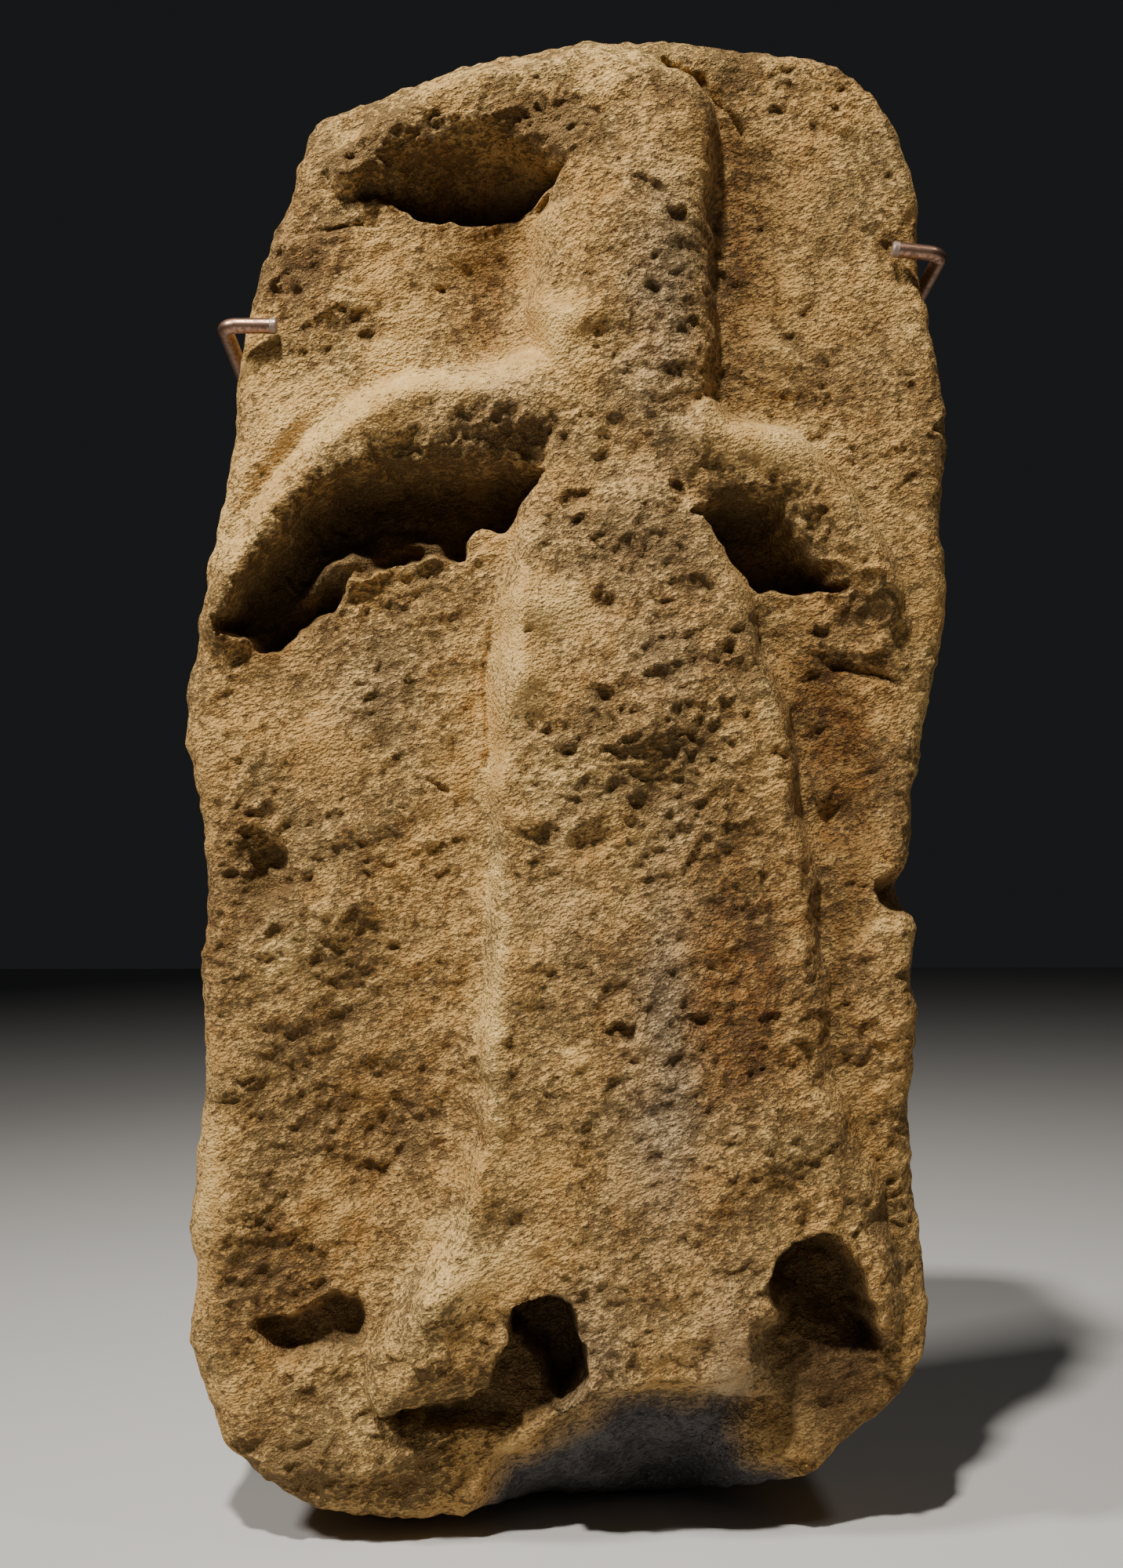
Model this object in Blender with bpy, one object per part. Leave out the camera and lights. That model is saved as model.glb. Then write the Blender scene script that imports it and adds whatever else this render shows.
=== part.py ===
"""A broken limestone slab carved in relief, with the two bent rods that hold it to a wall.

The slab stands upright. Its flat back lies in the plane Y = 0, centred on the origin, and its
carved front looks along -Y. X runs across it and Z runs up. The carving shows a worn standing
form: a neck with one arm that curls over to the left at the top, two drooping arms below it,
and a trunk that widens down to a broken foot.
"""
import math

import bmesh
import bpy
import numpy as np
from mathutils import Vector

# The slab, in metres
SLAB_HEIGHT = 0.88
SLAB_WIDTH = 0.45
SLAB_THICKNESS = 0.12
FIGURE_RELIEF = 0.030
FOOT_THICKNESS = 0.050
RIM_DROP = 0.022
SIDE_BULGE = 0.0015
BACK_ROUNDING = 0.010

# The wall clips, in metres
ROD_DIAMETER = 0.009
BEND_RADIUS = 0.008
LEFT_FINGER_LENGTH = 0.031
RIGHT_FINGER_LENGTH = 0.029
FINGER_CLEARANCE = 0.0012
SIDE_CLEARANCE = 0.0012

# Where each clip's finger crosses the slab's edge, as a share of the height, how far the finger
# dips on its way out and how far the leg drops for each metre that it runs back
LEFT_CLIP_LEVEL = 0.796
RIGHT_CLIP_LEVEL = 0.852
LEFT_FINGER_DIP = 0.0
RIGHT_FINGER_DIP = 0.10
LEG_DROP = 0.10

# Mesh fineness
FRONT_COLUMNS = 112
FRONT_ROWS = 212
SIDE_RINGS = 5
BACK_RINGS = 3
CURVE_STEPS = 4
SLAB_TRIANGLES = 8200

# The slab's plan, in four edges. Each row is a share of the width from the middle, a share of the
# height from the foot, and the width of the worn rim there as a share of the slab's width.
LEFT_EDGE = (
    (-0.472, 0.098, 0.050), (-0.490, 0.130, 0.050), (-0.479, 0.171, 0.055), (-0.490, 0.202, 0.060),
    (-0.475, 0.274, 0.055), (-0.471, 0.326, 0.045), (-0.477, 0.368, 0.035), (-0.471, 0.440, 0.035),
    (-0.492, 0.504, 0.040), (-0.500, 0.546, 0.045), (-0.488, 0.588, 0.040), (-0.457, 0.673, 0.040),
    (-0.442, 0.715, 0.030), (-0.440, 0.758, 0.028), (-0.425, 0.801, 0.024), (-0.406, 0.844, 0.030),
    (-0.368, 0.887, 0.035), (-0.348, 0.930, 0.045),
)
TOP_EDGE = (
    (-0.348, 0.930, 0.045), (-0.303, 0.948, 0.050), (-0.235, 0.962, 0.055), (-0.152, 0.978, 0.060),
    (-0.068, 0.990, 0.065), (0.015, 0.998, 0.065), (0.099, 1.000, 0.060), (0.183, 0.995, 0.040),
    (0.267, 0.992, 0.030), (0.351, 0.983, 0.028), (0.400, 0.965, 0.026), (0.435, 0.938, 0.024),
)
RIGHT_EDGE = (
    (0.458, 0.112, 0.050), (0.469, 0.134, 0.055), (0.459, 0.189, 0.060), (0.446, 0.247, 0.050),
    (0.442, 0.289, 0.040), (0.452, 0.336, 0.034), (0.446, 0.367, 0.030), (0.450, 0.399, 0.026),
    (0.434, 0.424, 0.024), (0.446, 0.446, 0.028), (0.453, 0.483, 0.030), (0.475, 0.547, 0.030),
    (0.492, 0.589, 0.032), (0.498, 0.632, 0.034), (0.491, 0.672, 0.030), (0.500, 0.729, 0.026),
    (0.494, 0.761, 0.026), (0.482, 0.804, 0.024), (0.469, 0.847, 0.022), (0.465, 0.891, 0.026),
    (0.435, 0.938, 0.024),
)
BOTTOM_EDGE = (
    (-0.472, 0.098, 0.050), (-0.456, 0.074, 0.045), (-0.441, 0.058, 0.040), (-0.410, 0.043, 0.040),
    (-0.359, 0.026, 0.045), (-0.307, 0.014, 0.050), (-0.234, 0.009, 0.055), (-0.129, 0.009, 0.050),
    (-0.077, 0.005, 0.040), (-0.024, 0.000, 0.035), (0.039, 0.000, 0.030), (0.144, 0.001, 0.030),
    (0.225, 0.009, 0.030), (0.290, 0.028, 0.035), (0.345, 0.050, 0.040), (0.395, 0.072, 0.045),
    (0.434, 0.090, 0.050), (0.458, 0.112, 0.050),
)

# The raised forms. Each row is again a share of the width, a share of the height, and the width of
# the form's sloping edge there as a share of the slab's width.
HEAD_AND_NECK = (
    (0.156, 0.600, 0.020), (0.170, 0.700, 0.014), (0.182, 0.755, 0.008), (0.184, 0.844, 0.007),
    (0.183, 0.892, 0.008), (0.189, 0.929, 0.012), (0.178, 0.955, 0.018), (0.156, 0.969, 0.026),
    (0.117, 0.981, 0.040), (0.034, 0.998, 0.070), (-0.038, 0.987, 0.070), (-0.079, 0.939, 0.040),
    (-0.038, 0.888, 0.030), (-0.056, 0.864, 0.040), (-0.055, 0.835, 0.042), (-0.054, 0.804, 0.022),
    (-0.040, 0.775, 0.020), (-0.034, 0.700, 0.016), (-0.030, 0.600, 0.020),
)
CURLED_ARM = (
    (-0.330, 0.898, 0.060), (-0.310, 0.917, 0.060), (-0.280, 0.930, 0.050), (-0.218, 0.948, 0.036),
    (-0.132, 0.967, 0.036), (-0.069, 0.976, 0.040), (0.014, 0.987, 0.040), (0.034, 0.934, 0.030),
    (-0.007, 0.891, 0.020), (-0.057, 0.877, 0.010), (-0.155, 0.873, 0.010), (-0.232, 0.880, 0.012),
    (-0.275, 0.884, 0.030), (-0.312, 0.886, 0.060),
)
LEFT_ARM = (
    (-0.007, 0.770, 0.020), (-0.045, 0.779, 0.040), (-0.089, 0.773, 0.048), (-0.174, 0.772, 0.055),
    (-0.241, 0.762, 0.055), (-0.306, 0.741, 0.055), (-0.362, 0.711, 0.055), (-0.415, 0.677, 0.055),
    (-0.470, 0.627, 0.045), (-0.487, 0.596, 0.030), (-0.458, 0.580, 0.040), (-0.418, 0.578, 0.070),
    (-0.368, 0.606, 0.095), (-0.330, 0.638, 0.110), (-0.284, 0.663, 0.120), (-0.226, 0.678, 0.125),
    (-0.160, 0.684, 0.125), (-0.088, 0.686, 0.110), (-0.028, 0.690, 0.075), (0.020, 0.704, 0.040),
    (0.034, 0.733, 0.020),
)
RIGHT_ARM = (
    (0.167, 0.754, 0.020), (0.224, 0.742, 0.038), (0.297, 0.725, 0.042), (0.349, 0.703, 0.040),
    (0.387, 0.677, 0.036), (0.420, 0.650, 0.034), (0.440, 0.615, 0.040), (0.435, 0.585, 0.050),
    (0.380, 0.570, 0.060), (0.356, 0.596, 0.060), (0.322, 0.622, 0.070), (0.284, 0.646, 0.078),
    (0.250, 0.658, 0.080), (0.205, 0.661, 0.070), (0.160, 0.664, 0.040), (0.126, 0.684, 0.020),
    (0.126, 0.723, 0.020),
)
TRUNK = (
    (-0.024, 0.790, 0.018), (-0.028, 0.740, 0.016), (-0.038, 0.700, 0.014), (-0.060, 0.685, 0.018),
    (-0.075, 0.650, 0.030), (-0.086, 0.607, 0.034), (-0.100, 0.544, 0.030), (-0.108, 0.441, 0.024),
    (-0.118, 0.359, 0.024), (-0.120, 0.277, 0.024), (-0.129, 0.241, 0.024), (-0.149, 0.213, 0.028),
    (-0.182, 0.188, 0.030), (-0.212, 0.165, 0.030), (-0.242, 0.145, 0.028), (-0.261, 0.125, 0.024),
    (-0.264, 0.102, 0.022), (-0.236, 0.084, 0.014), (-0.137, 0.092, 0.012), (-0.027, 0.083, 0.012),
    (0.073, 0.088, 0.012), (0.189, 0.090, 0.012), (0.334, 0.092, 0.030), (0.415, 0.125, 0.040),
    (0.430, 0.173, 0.040), (0.412, 0.204, 0.034), (0.395, 0.235, 0.028), (0.375, 0.258, 0.022),
    (0.343, 0.302, 0.020), (0.327, 0.363, 0.020), (0.297, 0.431, 0.020), (0.273, 0.503, 0.020),
    (0.263, 0.560, 0.022), (0.246, 0.582, 0.028), (0.227, 0.605, 0.034), (0.215, 0.628, 0.034),
    (0.202, 0.649, 0.028), (0.176, 0.668, 0.018), (0.160, 0.700, 0.016), (0.158, 0.740, 0.016),
    (0.155, 0.790, 0.018),
)

# How high each raised form stands, in rows of a share of the slab's height and a share of the relief
HEAD_HEIGHT = ((0.64, 0.80), (0.76, 1.08), (0.88, 1.20), (0.95, 1.05), (1.00, 0.65))
CURLED_ARM_HEIGHT = ((0.88, 0.85), (0.94, 1.00), (1.00, 0.75))
LEFT_ARM_HEIGHT = ((0.58, 0.80), (0.66, 1.05), (0.74, 1.10))
RIGHT_ARM_HEIGHT = ((0.58, 0.50), (0.65, 1.00), (0.73, 1.10))
TRUNK_HEIGHT = (
    (0.05, 0.90), (0.15, 1.05), (0.25, 0.92), (0.40, 0.85), (0.55, 0.98), (0.68, 1.08), (0.78, 0.98),
)
RAISED_FORMS = (
    (HEAD_AND_NECK, HEAD_HEIGHT),
    (CURLED_ARM, CURLED_ARM_HEIGHT),
    (LEFT_ARM, LEFT_ARM_HEIGHT),
    (RIGHT_ARM, RIGHT_ARM_HEIGHT),
    (TRUNK, TRUNK_HEIGHT),
)
FORM_BLEND = 0.008

# A raised form climbs over its sloping edge, then goes on rising gently as a dome: the share of its
# height that the dome takes, and the dome's reach in widths of the sloping edge
DOME_SHARE = 0.42
DOME_REACH = 4.5

# The hollows under the arms and in the broken foot, in rows like those of the raised forms
UPPER_HOLLOW = (
    (-0.278, 0.882, 0.040), (-0.282, 0.900, 0.080), (-0.232, 0.920, 0.105), (-0.168, 0.931, 0.115),
    (-0.108, 0.936, 0.115), (-0.062, 0.933, 0.105), (-0.024, 0.920, 0.075), (0.006, 0.906, 0.036),
    (-0.004, 0.893, 0.028), (-0.022, 0.884, 0.024), (-0.050, 0.873, 0.016), (-0.090, 0.868, 0.016),
    (-0.144, 0.864, 0.016), (-0.188, 0.868, 0.016), (-0.233, 0.876, 0.014),
)
LEFT_HOLLOW = (
    (-0.028, 0.702, 0.020), (-0.075, 0.701, 0.030), (-0.140, 0.702, 0.036), (-0.202, 0.702, 0.036),
    (-0.253, 0.694, 0.034), (-0.301, 0.682, 0.032), (-0.348, 0.662, 0.030), (-0.374, 0.638, 0.026),
    (-0.404, 0.617, 0.022), (-0.450, 0.593, 0.010), (-0.415, 0.583, 0.014), (-0.380, 0.580, 0.016),
    (-0.354, 0.588, 0.018), (-0.312, 0.603, 0.020), (-0.287, 0.621, 0.022), (-0.253, 0.629, 0.022),
    (-0.186, 0.638, 0.022), (-0.150, 0.641, 0.020), (-0.127, 0.645, 0.014), (-0.119, 0.660, 0.012),
    (-0.081, 0.664, 0.012), (-0.064, 0.675, 0.010), (-0.051, 0.689, 0.010),
)
RIGHT_HOLLOW = (
    (0.150, 0.672, 0.010), (0.172, 0.678, 0.026), (0.218, 0.682, 0.038), (0.258, 0.680, 0.040),
    (0.288, 0.661, 0.036), (0.330, 0.638, 0.026), (0.360, 0.618, 0.012), (0.317, 0.618, 0.016),
    (0.250, 0.621, 0.016), (0.226, 0.631, 0.014), (0.204, 0.644, 0.010), (0.168, 0.665, 0.008),
)
FOOT_POCKET = (
    (-0.015, 0.164, 0.014), (0.012, 0.150, 0.010), (0.024, 0.132, 0.010), (0.026, 0.114, 0.010),
    (0.017, 0.099, 0.012), (-0.020, 0.088, 0.014), (-0.055, 0.113, 0.024), (-0.084, 0.136, 0.026),
    (-0.072, 0.151, 0.024), (-0.037, 0.162, 0.020),
)
FOOT_OVERHANG = (
    (-0.087, 0.134, 0.014), (-0.050, 0.128, 0.014), (-0.017, 0.095, 0.014), (-0.037, 0.077, 0.020),
    (-0.127, 0.073, 0.020), (-0.227, 0.080, 0.014), (-0.182, 0.088, 0.012), (-0.120, 0.098, 0.012),
)
LOWER_LEFT_POCKET = (
    (-0.402, 0.146, 0.020), (-0.350, 0.156, 0.034), (-0.290, 0.164, 0.044), (-0.256, 0.148, 0.030),
    (-0.262, 0.122, 0.020), (-0.300, 0.112, 0.018), (-0.338, 0.106, 0.018), (-0.384, 0.118, 0.016),
)
LOWER_RIGHT_POCKET = (
    (0.242, 0.172, 0.024), (0.260, 0.192, 0.024), (0.298, 0.200, 0.024), (0.342, 0.197, 0.028),
    (0.372, 0.178, 0.028), (0.386, 0.152, 0.026), (0.402, 0.122, 0.022), (0.372, 0.112, 0.040),
    (0.318, 0.124, 0.060), (0.264, 0.146, 0.040),
)
LOWER_RIGHT_SLOPE = (
    (0.230, 0.150, 0.060), (0.300, 0.156, 0.050), (0.372, 0.152, 0.060), (0.424, 0.122, 0.070),
    (0.428, 0.084, 0.090), (0.362, 0.044, 0.120), (0.285, 0.034, 0.120), (0.236, 0.050, 0.100),
    (0.220, 0.100, 0.090),
)
BROKEN_UNDERSIDE = (
    (-0.105, 0.050, 0.120), (-0.058, 0.064, 0.130), (0.012, 0.090, 0.170), (0.040, 0.106, 0.180),
    (0.113, 0.108, 0.180), (0.190, 0.108, 0.180), (0.231, 0.120, 0.160), (0.246, 0.090, 0.140),
    (0.250, 0.056, 0.120), (0.300, 0.040, 0.100), (0.340, -0.060, 0.040), (0.200, -0.160, 0.030),
    (-0.050, -0.160, 0.030), (-0.160, -0.060, 0.040),
)
RIM_NOTCH = (
    (0.392, 0.430, 0.020), (0.440, 0.436, 0.026), (0.480, 0.424, 0.026), (0.470, 0.404, 0.020),
    (0.420, 0.404, 0.014), (0.398, 0.414, 0.014),
)
# Each hollow's floor, in shares of the relief above the slab's plain ground, and how rounded its lip
# is, from 0 for a sharp one to 1
HOLLOWS = (
    (UPPER_HOLLOW, -0.85, 1.0),
    (LEFT_HOLLOW, -1.00, 0.5),
    (RIGHT_HOLLOW, -0.95, 0.5),
    (FOOT_POCKET, -1.20, 0.2),
    (FOOT_OVERHANG, -0.30, 0.0),
    (LOWER_LEFT_POCKET, -0.60, 0.3),
    (LOWER_RIGHT_SLOPE, -0.30, 0.0),
    (LOWER_RIGHT_POCKET, -0.95, 0.2),
    (RIM_NOTCH, -0.55, 0.0),
)

# Swells and dips of the worn surface: two shares for the place, two for the spread across and up,
# and the height as a share of the relief
SWELLS = (
    (-0.280, 0.520, 0.110, 0.080, 0.25),
    (-0.395, 0.436, 0.032, 0.024, -0.50),
    (-0.270, 0.270, 0.120, 0.080, -0.40),
    (-0.440, 0.215, 0.040, 0.050, 0.25),
    (-0.250, 0.060, 0.120, 0.024, 0.50),
    (-0.190, 0.122, 0.050, 0.022, 0.40),
    (-0.028, 0.606, 0.040, 0.012, 0.28),
    (-0.063, 0.556, 0.026, 0.016, 0.25),
    (0.070, 0.560, 0.080, 0.040, 0.12),
    (0.070, 0.430, 0.100, 0.045, -0.20),
    (0.190, 0.400, 0.080, 0.080, -0.30),
    (0.260, 0.262, 0.070, 0.026, 0.36),
    (0.020, 0.300, 0.060, 0.050, 0.14),
    (0.200, 0.150, 0.080, 0.030, 0.18),
    (0.060, 0.850, 0.050, 0.060, 0.10),
    (0.050, 0.705, 0.060, 0.024, -0.26),
    (-0.092, 0.836, 0.060, 0.045, -0.66),
    (-0.300, 0.830, 0.080, 0.050, 0.16),
    (0.230, 0.850, 0.045, 0.120, -0.40),
    (0.340, 0.780, 0.070, 0.070, -0.10),
    (0.430, 0.330, 0.030, 0.100, 0.16),
    (-0.430, 0.797, 0.060, 0.050, -0.25),
    (0.460, 0.852, 0.060, 0.050, -0.25),
)

# Rounded crests and troughs that run along a line: rows of the two shares and the half width, then the
# height as a share of the relief
CRESTS = (
    (((-0.020, 0.742, 0.034), (-0.100, 0.748, 0.034), (-0.180, 0.745, 0.036), (-0.250, 0.732, 0.036),
      (-0.320, 0.706, 0.034), (-0.380, 0.668, 0.032), (-0.440, 0.620, 0.028)), 0.07),
    (((0.150, 0.722, 0.030), (0.210, 0.718, 0.030), (0.270, 0.708, 0.030), (0.330, 0.690, 0.030),
      (0.370, 0.664, 0.030), (0.398, 0.630, 0.030)), 0.08),
    (((-0.262, 0.926, 0.022), (-0.180, 0.948, 0.026), (-0.090, 0.962, 0.030), (0.010, 0.960, 0.040)), 0.12),
    (((-0.348, 0.616, 0.012), (-0.288, 0.636, 0.018), (-0.228, 0.648, 0.022), (-0.184, 0.645, 0.016)), 0.50),
    (((0.330, 0.588, 0.020), (0.380, 0.580, 0.020), (0.430, 0.572, 0.020)), 0.16),
    (((-0.060, 0.630, 0.028), (-0.066, 0.560, 0.034), (-0.074, 0.480, 0.034), (-0.086, 0.400, 0.034),
      (-0.090, 0.320, 0.034), (-0.100, 0.255, 0.036)), 0.24),
    (((-0.100, 0.260, 0.036), (-0.130, 0.210, 0.040), (-0.165, 0.176, 0.042), (-0.190, 0.146, 0.040)), 0.30),
    (((0.285, 0.610, 0.040), (0.320, 0.540, 0.055), (0.345, 0.470, 0.055), (0.375, 0.390, 0.045)), -0.42),
    (((-0.300, 0.420, 0.060), (-0.350, 0.385, 0.065), (-0.400, 0.345, 0.065), (-0.430, 0.310, 0.060)), 0.22),
    (((0.232, 0.600, 0.016), (0.255, 0.540, 0.016), (0.268, 0.480, 0.016), (0.298, 0.410, 0.018),
      (0.318, 0.340, 0.018), (0.350, 0.270, 0.018)), 0.20),
    (((-0.045, 0.804, 0.030), (-0.018, 0.790, 0.034), (0.020, 0.794, 0.030)), 0.20),
    (((-0.480, 0.640, 0.016), (-0.430, 0.690, 0.020), (-0.350, 0.735, 0.022)), 0.10),
    (((0.100, 0.550, 0.026), (0.030, 0.490, 0.034), (-0.040, 0.450, 0.034)), 0.14),
)

STONE_COLOUR = (0.56, 0.42, 0.24, 1.0)
STONE_ROUGHNESS = 0.95
ROD_COLOUR = (0.55, 0.36, 0.26, 1.0)
ROD_ROUGHNESS = 0.35


def clear_scene():
    """Remove every object, so that the model is built from nothing."""
    for old in list(bpy.data.objects):
        bpy.data.objects.remove(old, do_unlink=True)


def collection(name):
    """A new collection in the scene for the model's parts."""
    group = bpy.data.collections.new(name)
    bpy.context.scene.collection.children.link(group)
    return group


def surface_finish(name, colour, roughness, metallic):
    """A plain shader with one colour, one roughness and one metallic value."""
    finish = bpy.data.materials.new(name)
    finish.use_nodes = True
    shader = finish.node_tree.nodes["Principled BSDF"]
    shader.inputs["Base Color"].default_value = colour
    shader.inputs["Roughness"].default_value = roughness
    shader.inputs["Metallic"].default_value = metallic
    return finish


def smooth_ring(rows, steps=CURVE_STEPS):
    """A closed curve that passes smoothly through rows of numbers, with all columns carried along."""
    rows = np.array(rows)
    before, after, second = np.roll(rows, 1, 0), np.roll(rows, -1, 0), np.roll(rows, -2, 0)
    pieces = []
    for t in np.arange(steps) / steps:
        bend = 0.5 * (
            2 * rows
            + (after - before) * t
            + (2 * before - 5 * rows + 4 * after - second) * t**2
            + (3 * rows - before - 3 * after + second) * t**3
        )
        pieces.append(bend)
    return np.stack(pieces, 1).reshape(-1, rows.shape[1])


def in_metres(ring):
    """Shares of the slab turned into places and widths in metres."""
    x = ring[:, 0] * SLAB_WIDTH
    z = (ring[:, 1] - 0.5) * SLAB_HEIGHT
    return np.stack([x, z, ring[:, 2] * SLAB_WIDTH], 1)


def inside_ratio(x, z, rows, most=1):
    """How far inside an outline each place lies, in widths of the sloping edge nearest to it.

    It is 0 on the outline and outside it, 1 where the sloping edge ends, and on from there up to the
    most that is asked for.
    """
    ring = in_metres(smooth_ring(rows))
    nearest = np.full(x.shape, np.inf)
    inside = np.zeros(x.shape, bool)
    for start, end in zip(ring, np.roll(ring, -1, 0)):
        run, rise = end[0] - start[0], end[1] - start[1]
        along = ((x - start[0]) * run + (z - start[1]) * rise) / (run**2 + rise**2 + 1e-12)
        along = np.clip(along, 0, 1)
        gap = np.hypot(x - start[0] - along * run, z - start[1] - along * rise)
        width = start[2] + along * (end[2] - start[2])
        nearest = np.minimum(nearest, gap / width)
        crosses = (start[1] > z) != (end[1] > z)
        if rise:
            inside ^= crosses & (x < start[0] + (z - start[1]) * run / rise)
    return np.where(inside, np.minimum(nearest, most), 0)


def crest_share(x, z, rows):
    """How near each place lies to a crest's line, from 1 on it down to 0 well away from it."""
    line = in_metres(np.array(rows))
    share = np.zeros(x.shape)
    for start, end in zip(line[:-1], line[1:]):
        run, rise = end[0] - start[0], end[1] - start[1]
        along = np.clip(((x - start[0]) * run + (z - start[1]) * rise) / (run**2 + rise**2), 0, 1)
        gap = np.hypot(x - start[0] - along * run, z - start[1] - along * rise)
        width = start[2] + along * (end[2] - start[2])
        share = np.maximum(share, np.exp(-((gap / width) ** 2)))
    return share


def raised_profile(ratio):
    """A slope that leaves its outline steeply, rolls over and goes on as a gentle dome."""
    edge = np.sin(np.minimum(ratio, 1) * math.pi / 2)
    dome = np.sin(ratio / DOME_REACH * math.pi / 2)
    return (1 - DOME_SHARE) * edge + DOME_SHARE * dome


def cut_profile(ratio, roundness):
    """A slope down into a hollow, from a sharp lip or from a rounded one."""
    return (1 - roundness) * np.sin(ratio * math.pi / 2) + roundness * (1 - np.cos(ratio * math.pi)) / 2


def smooth_max(first, second, blend):
    """The higher of two surfaces, filled a little where two raised ones meet."""
    near = np.clip(1 - np.abs(first - second) / blend, 0, 1)
    both_raised = np.clip(np.minimum(first, second) / blend, 0, 1)
    return np.maximum(first, second) + near**2 * both_raised * blend / 4


def eased(value, rows):
    """The number that rows of pairs give for a value, passing from row to row without a crease."""
    places, numbers = np.array(rows).T
    step = np.interp(value, places, np.arange(len(places)))
    part = step - np.floor(step)
    return np.interp(np.floor(step) + part**2 * (3 - 2 * part), np.arange(len(places)), numbers)


def slab_outline():
    """The slab's whole plan as one closed ring of rows, anticlockwise from the lower left corner."""
    return BOTTOM_EDGE[:-1] + RIGHT_EDGE[:-1] + TOP_EDGE[:0:-1] + LEFT_EDGE[:0:-1]


def front_depth(x, z):
    """How far the carved front stands in front of the back plane, at places given in metres."""
    across = x / SLAB_WIDTH
    up = z / SLAB_HEIGHT + 0.5
    raised = np.zeros(x.shape)
    for rows, heights in RAISED_FORMS:
        level = eased(up, heights) * FIGURE_RELIEF
        height = level * raised_profile(inside_ratio(x, z, rows, DOME_REACH))
        raised = smooth_max(raised, height, FORM_BLEND)
    surface = SLAB_THICKNESS + raised
    for middle, level, spread_across, spread_up, height in SWELLS:
        reach = ((across - middle) / spread_across) ** 2 + ((up - level) / spread_up) ** 2
        surface = surface + height * FIGURE_RELIEF * np.exp(-reach)
    for rows, floor, roundness in HOLLOWS:
        cut = cut_profile(inside_ratio(x, z, rows), roundness)
        surface = surface + cut * (SLAB_THICKNESS + floor * FIGURE_RELIEF - surface)
    for rows, height in CRESTS:
        surface = surface + height * FIGURE_RELIEF * crest_share(x, z, rows)
    cut = inside_ratio(x, z, BROKEN_UNDERSIDE)
    surface = surface + cut * (FOOT_THICKNESS - surface)
    worn = 1 - inside_ratio(x, z, slab_outline())
    return surface - RIM_DROP * (1 - np.sqrt(np.maximum(1 - worn**2, 0)))


def even_points(rows, count):
    """A number of places evenly spaced along an open edge, in metres."""
    rows = np.array(rows)
    padded = np.vstack([2 * rows[0] - rows[1], rows, 2 * rows[-1] - rows[-2]])
    curve = in_metres(smooth_ring(padded)[CURVE_STEPS: -2 * CURVE_STEPS + 1])[:, :2]
    length = np.concatenate([[0], np.cumsum(np.hypot(*np.diff(curve, axis=0).T))])
    stops = np.linspace(0, length[-1], count)
    return np.stack([np.interp(stops, length, curve[:, 0]), np.interp(stops, length, curve[:, 1])], 1)


def front_places(columns, rows):
    """The grid of places on the front, spread evenly between the slab's four edges."""
    across = np.linspace(0, 1, columns)[None, :, None]
    up = np.linspace(0, 1, rows)[:, None, None]
    left, right = even_points(LEFT_EDGE, rows)[:, None], even_points(RIGHT_EDGE, rows)[:, None]
    bottom, top = even_points(BOTTOM_EDGE, columns)[None], even_points(TOP_EDGE, columns)[None]
    corners = (
        (1 - up) * ((1 - across) * bottom[:, :1] + across * bottom[:, -1:])
        + up * ((1 - across) * top[:, :1] + across * top[:, -1:])
    )
    return (1 - across) * left + across * right + (1 - up) * bottom + up * top - corners


def slab_mesh(columns, rows):
    """The slab as one closed mesh: a grid shaped into the carved front, then sides drawn back from it."""
    mesh = bmesh.new()
    bmesh.ops.create_grid(mesh, x_segments=columns - 1, y_segments=rows - 1, size=1)
    mesh.verts.ensure_lookup_table()
    places = front_places(columns, rows).reshape(-1, 2)
    depths = front_depth(places[:, 0], places[:, 1])
    for vertex, (x, z), depth in zip(mesh.verts, places, depths):
        vertex.co = (x, -depth, z)
    rim = [edge for edge in mesh.edges if edge.is_boundary]
    draw_back(mesh, rim)
    bmesh.ops.recalc_face_normals(mesh, faces=mesh.faces)
    return mesh


def draw_back(mesh, rim):
    """Extrude the rim to the back in rings, turn it in at the back and close it with a flat face."""
    side = [(ring / SIDE_RINGS, 0.0) for ring in range(1, SIDE_RINGS + 1)]
    turn = [(1.0, ring / BACK_RINGS * math.pi / 2) for ring in range(1, BACK_RINGS + 1)]
    source = {vertex: vertex.co.copy() for edge in rim for vertex in edge.verts}
    for share, angle in side + turn:
        grown = bmesh.ops.extrude_edge_only(mesh, edges=rim)["geom"]
        rim = [item for item in grown if isinstance(item, bmesh.types.BMEdge)]
        nearby = {tuple(vertex.co): start for vertex, start in source.items()}
        fresh = [item for item in grown if isinstance(item, bmesh.types.BMVert)]
        source = {vertex: nearby[tuple(vertex.co)] for vertex in fresh}
        swell = SIDE_BULGE * math.sin(share * math.pi) - BACK_ROUNDING * (1 - math.cos(angle))
        for vertex, start in source.items():
            depth = -start.y + share * (BACK_ROUNDING + start.y) - BACK_ROUNDING * math.sin(angle)
            x = start.x * (1 + 2 * swell / SLAB_WIDTH)
            z = start.z * (1 + 2 * swell / SLAB_HEIGHT)
            vertex.co = (x, -depth, z)
    bmesh.ops.contextual_create(mesh, geom=rim)


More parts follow.
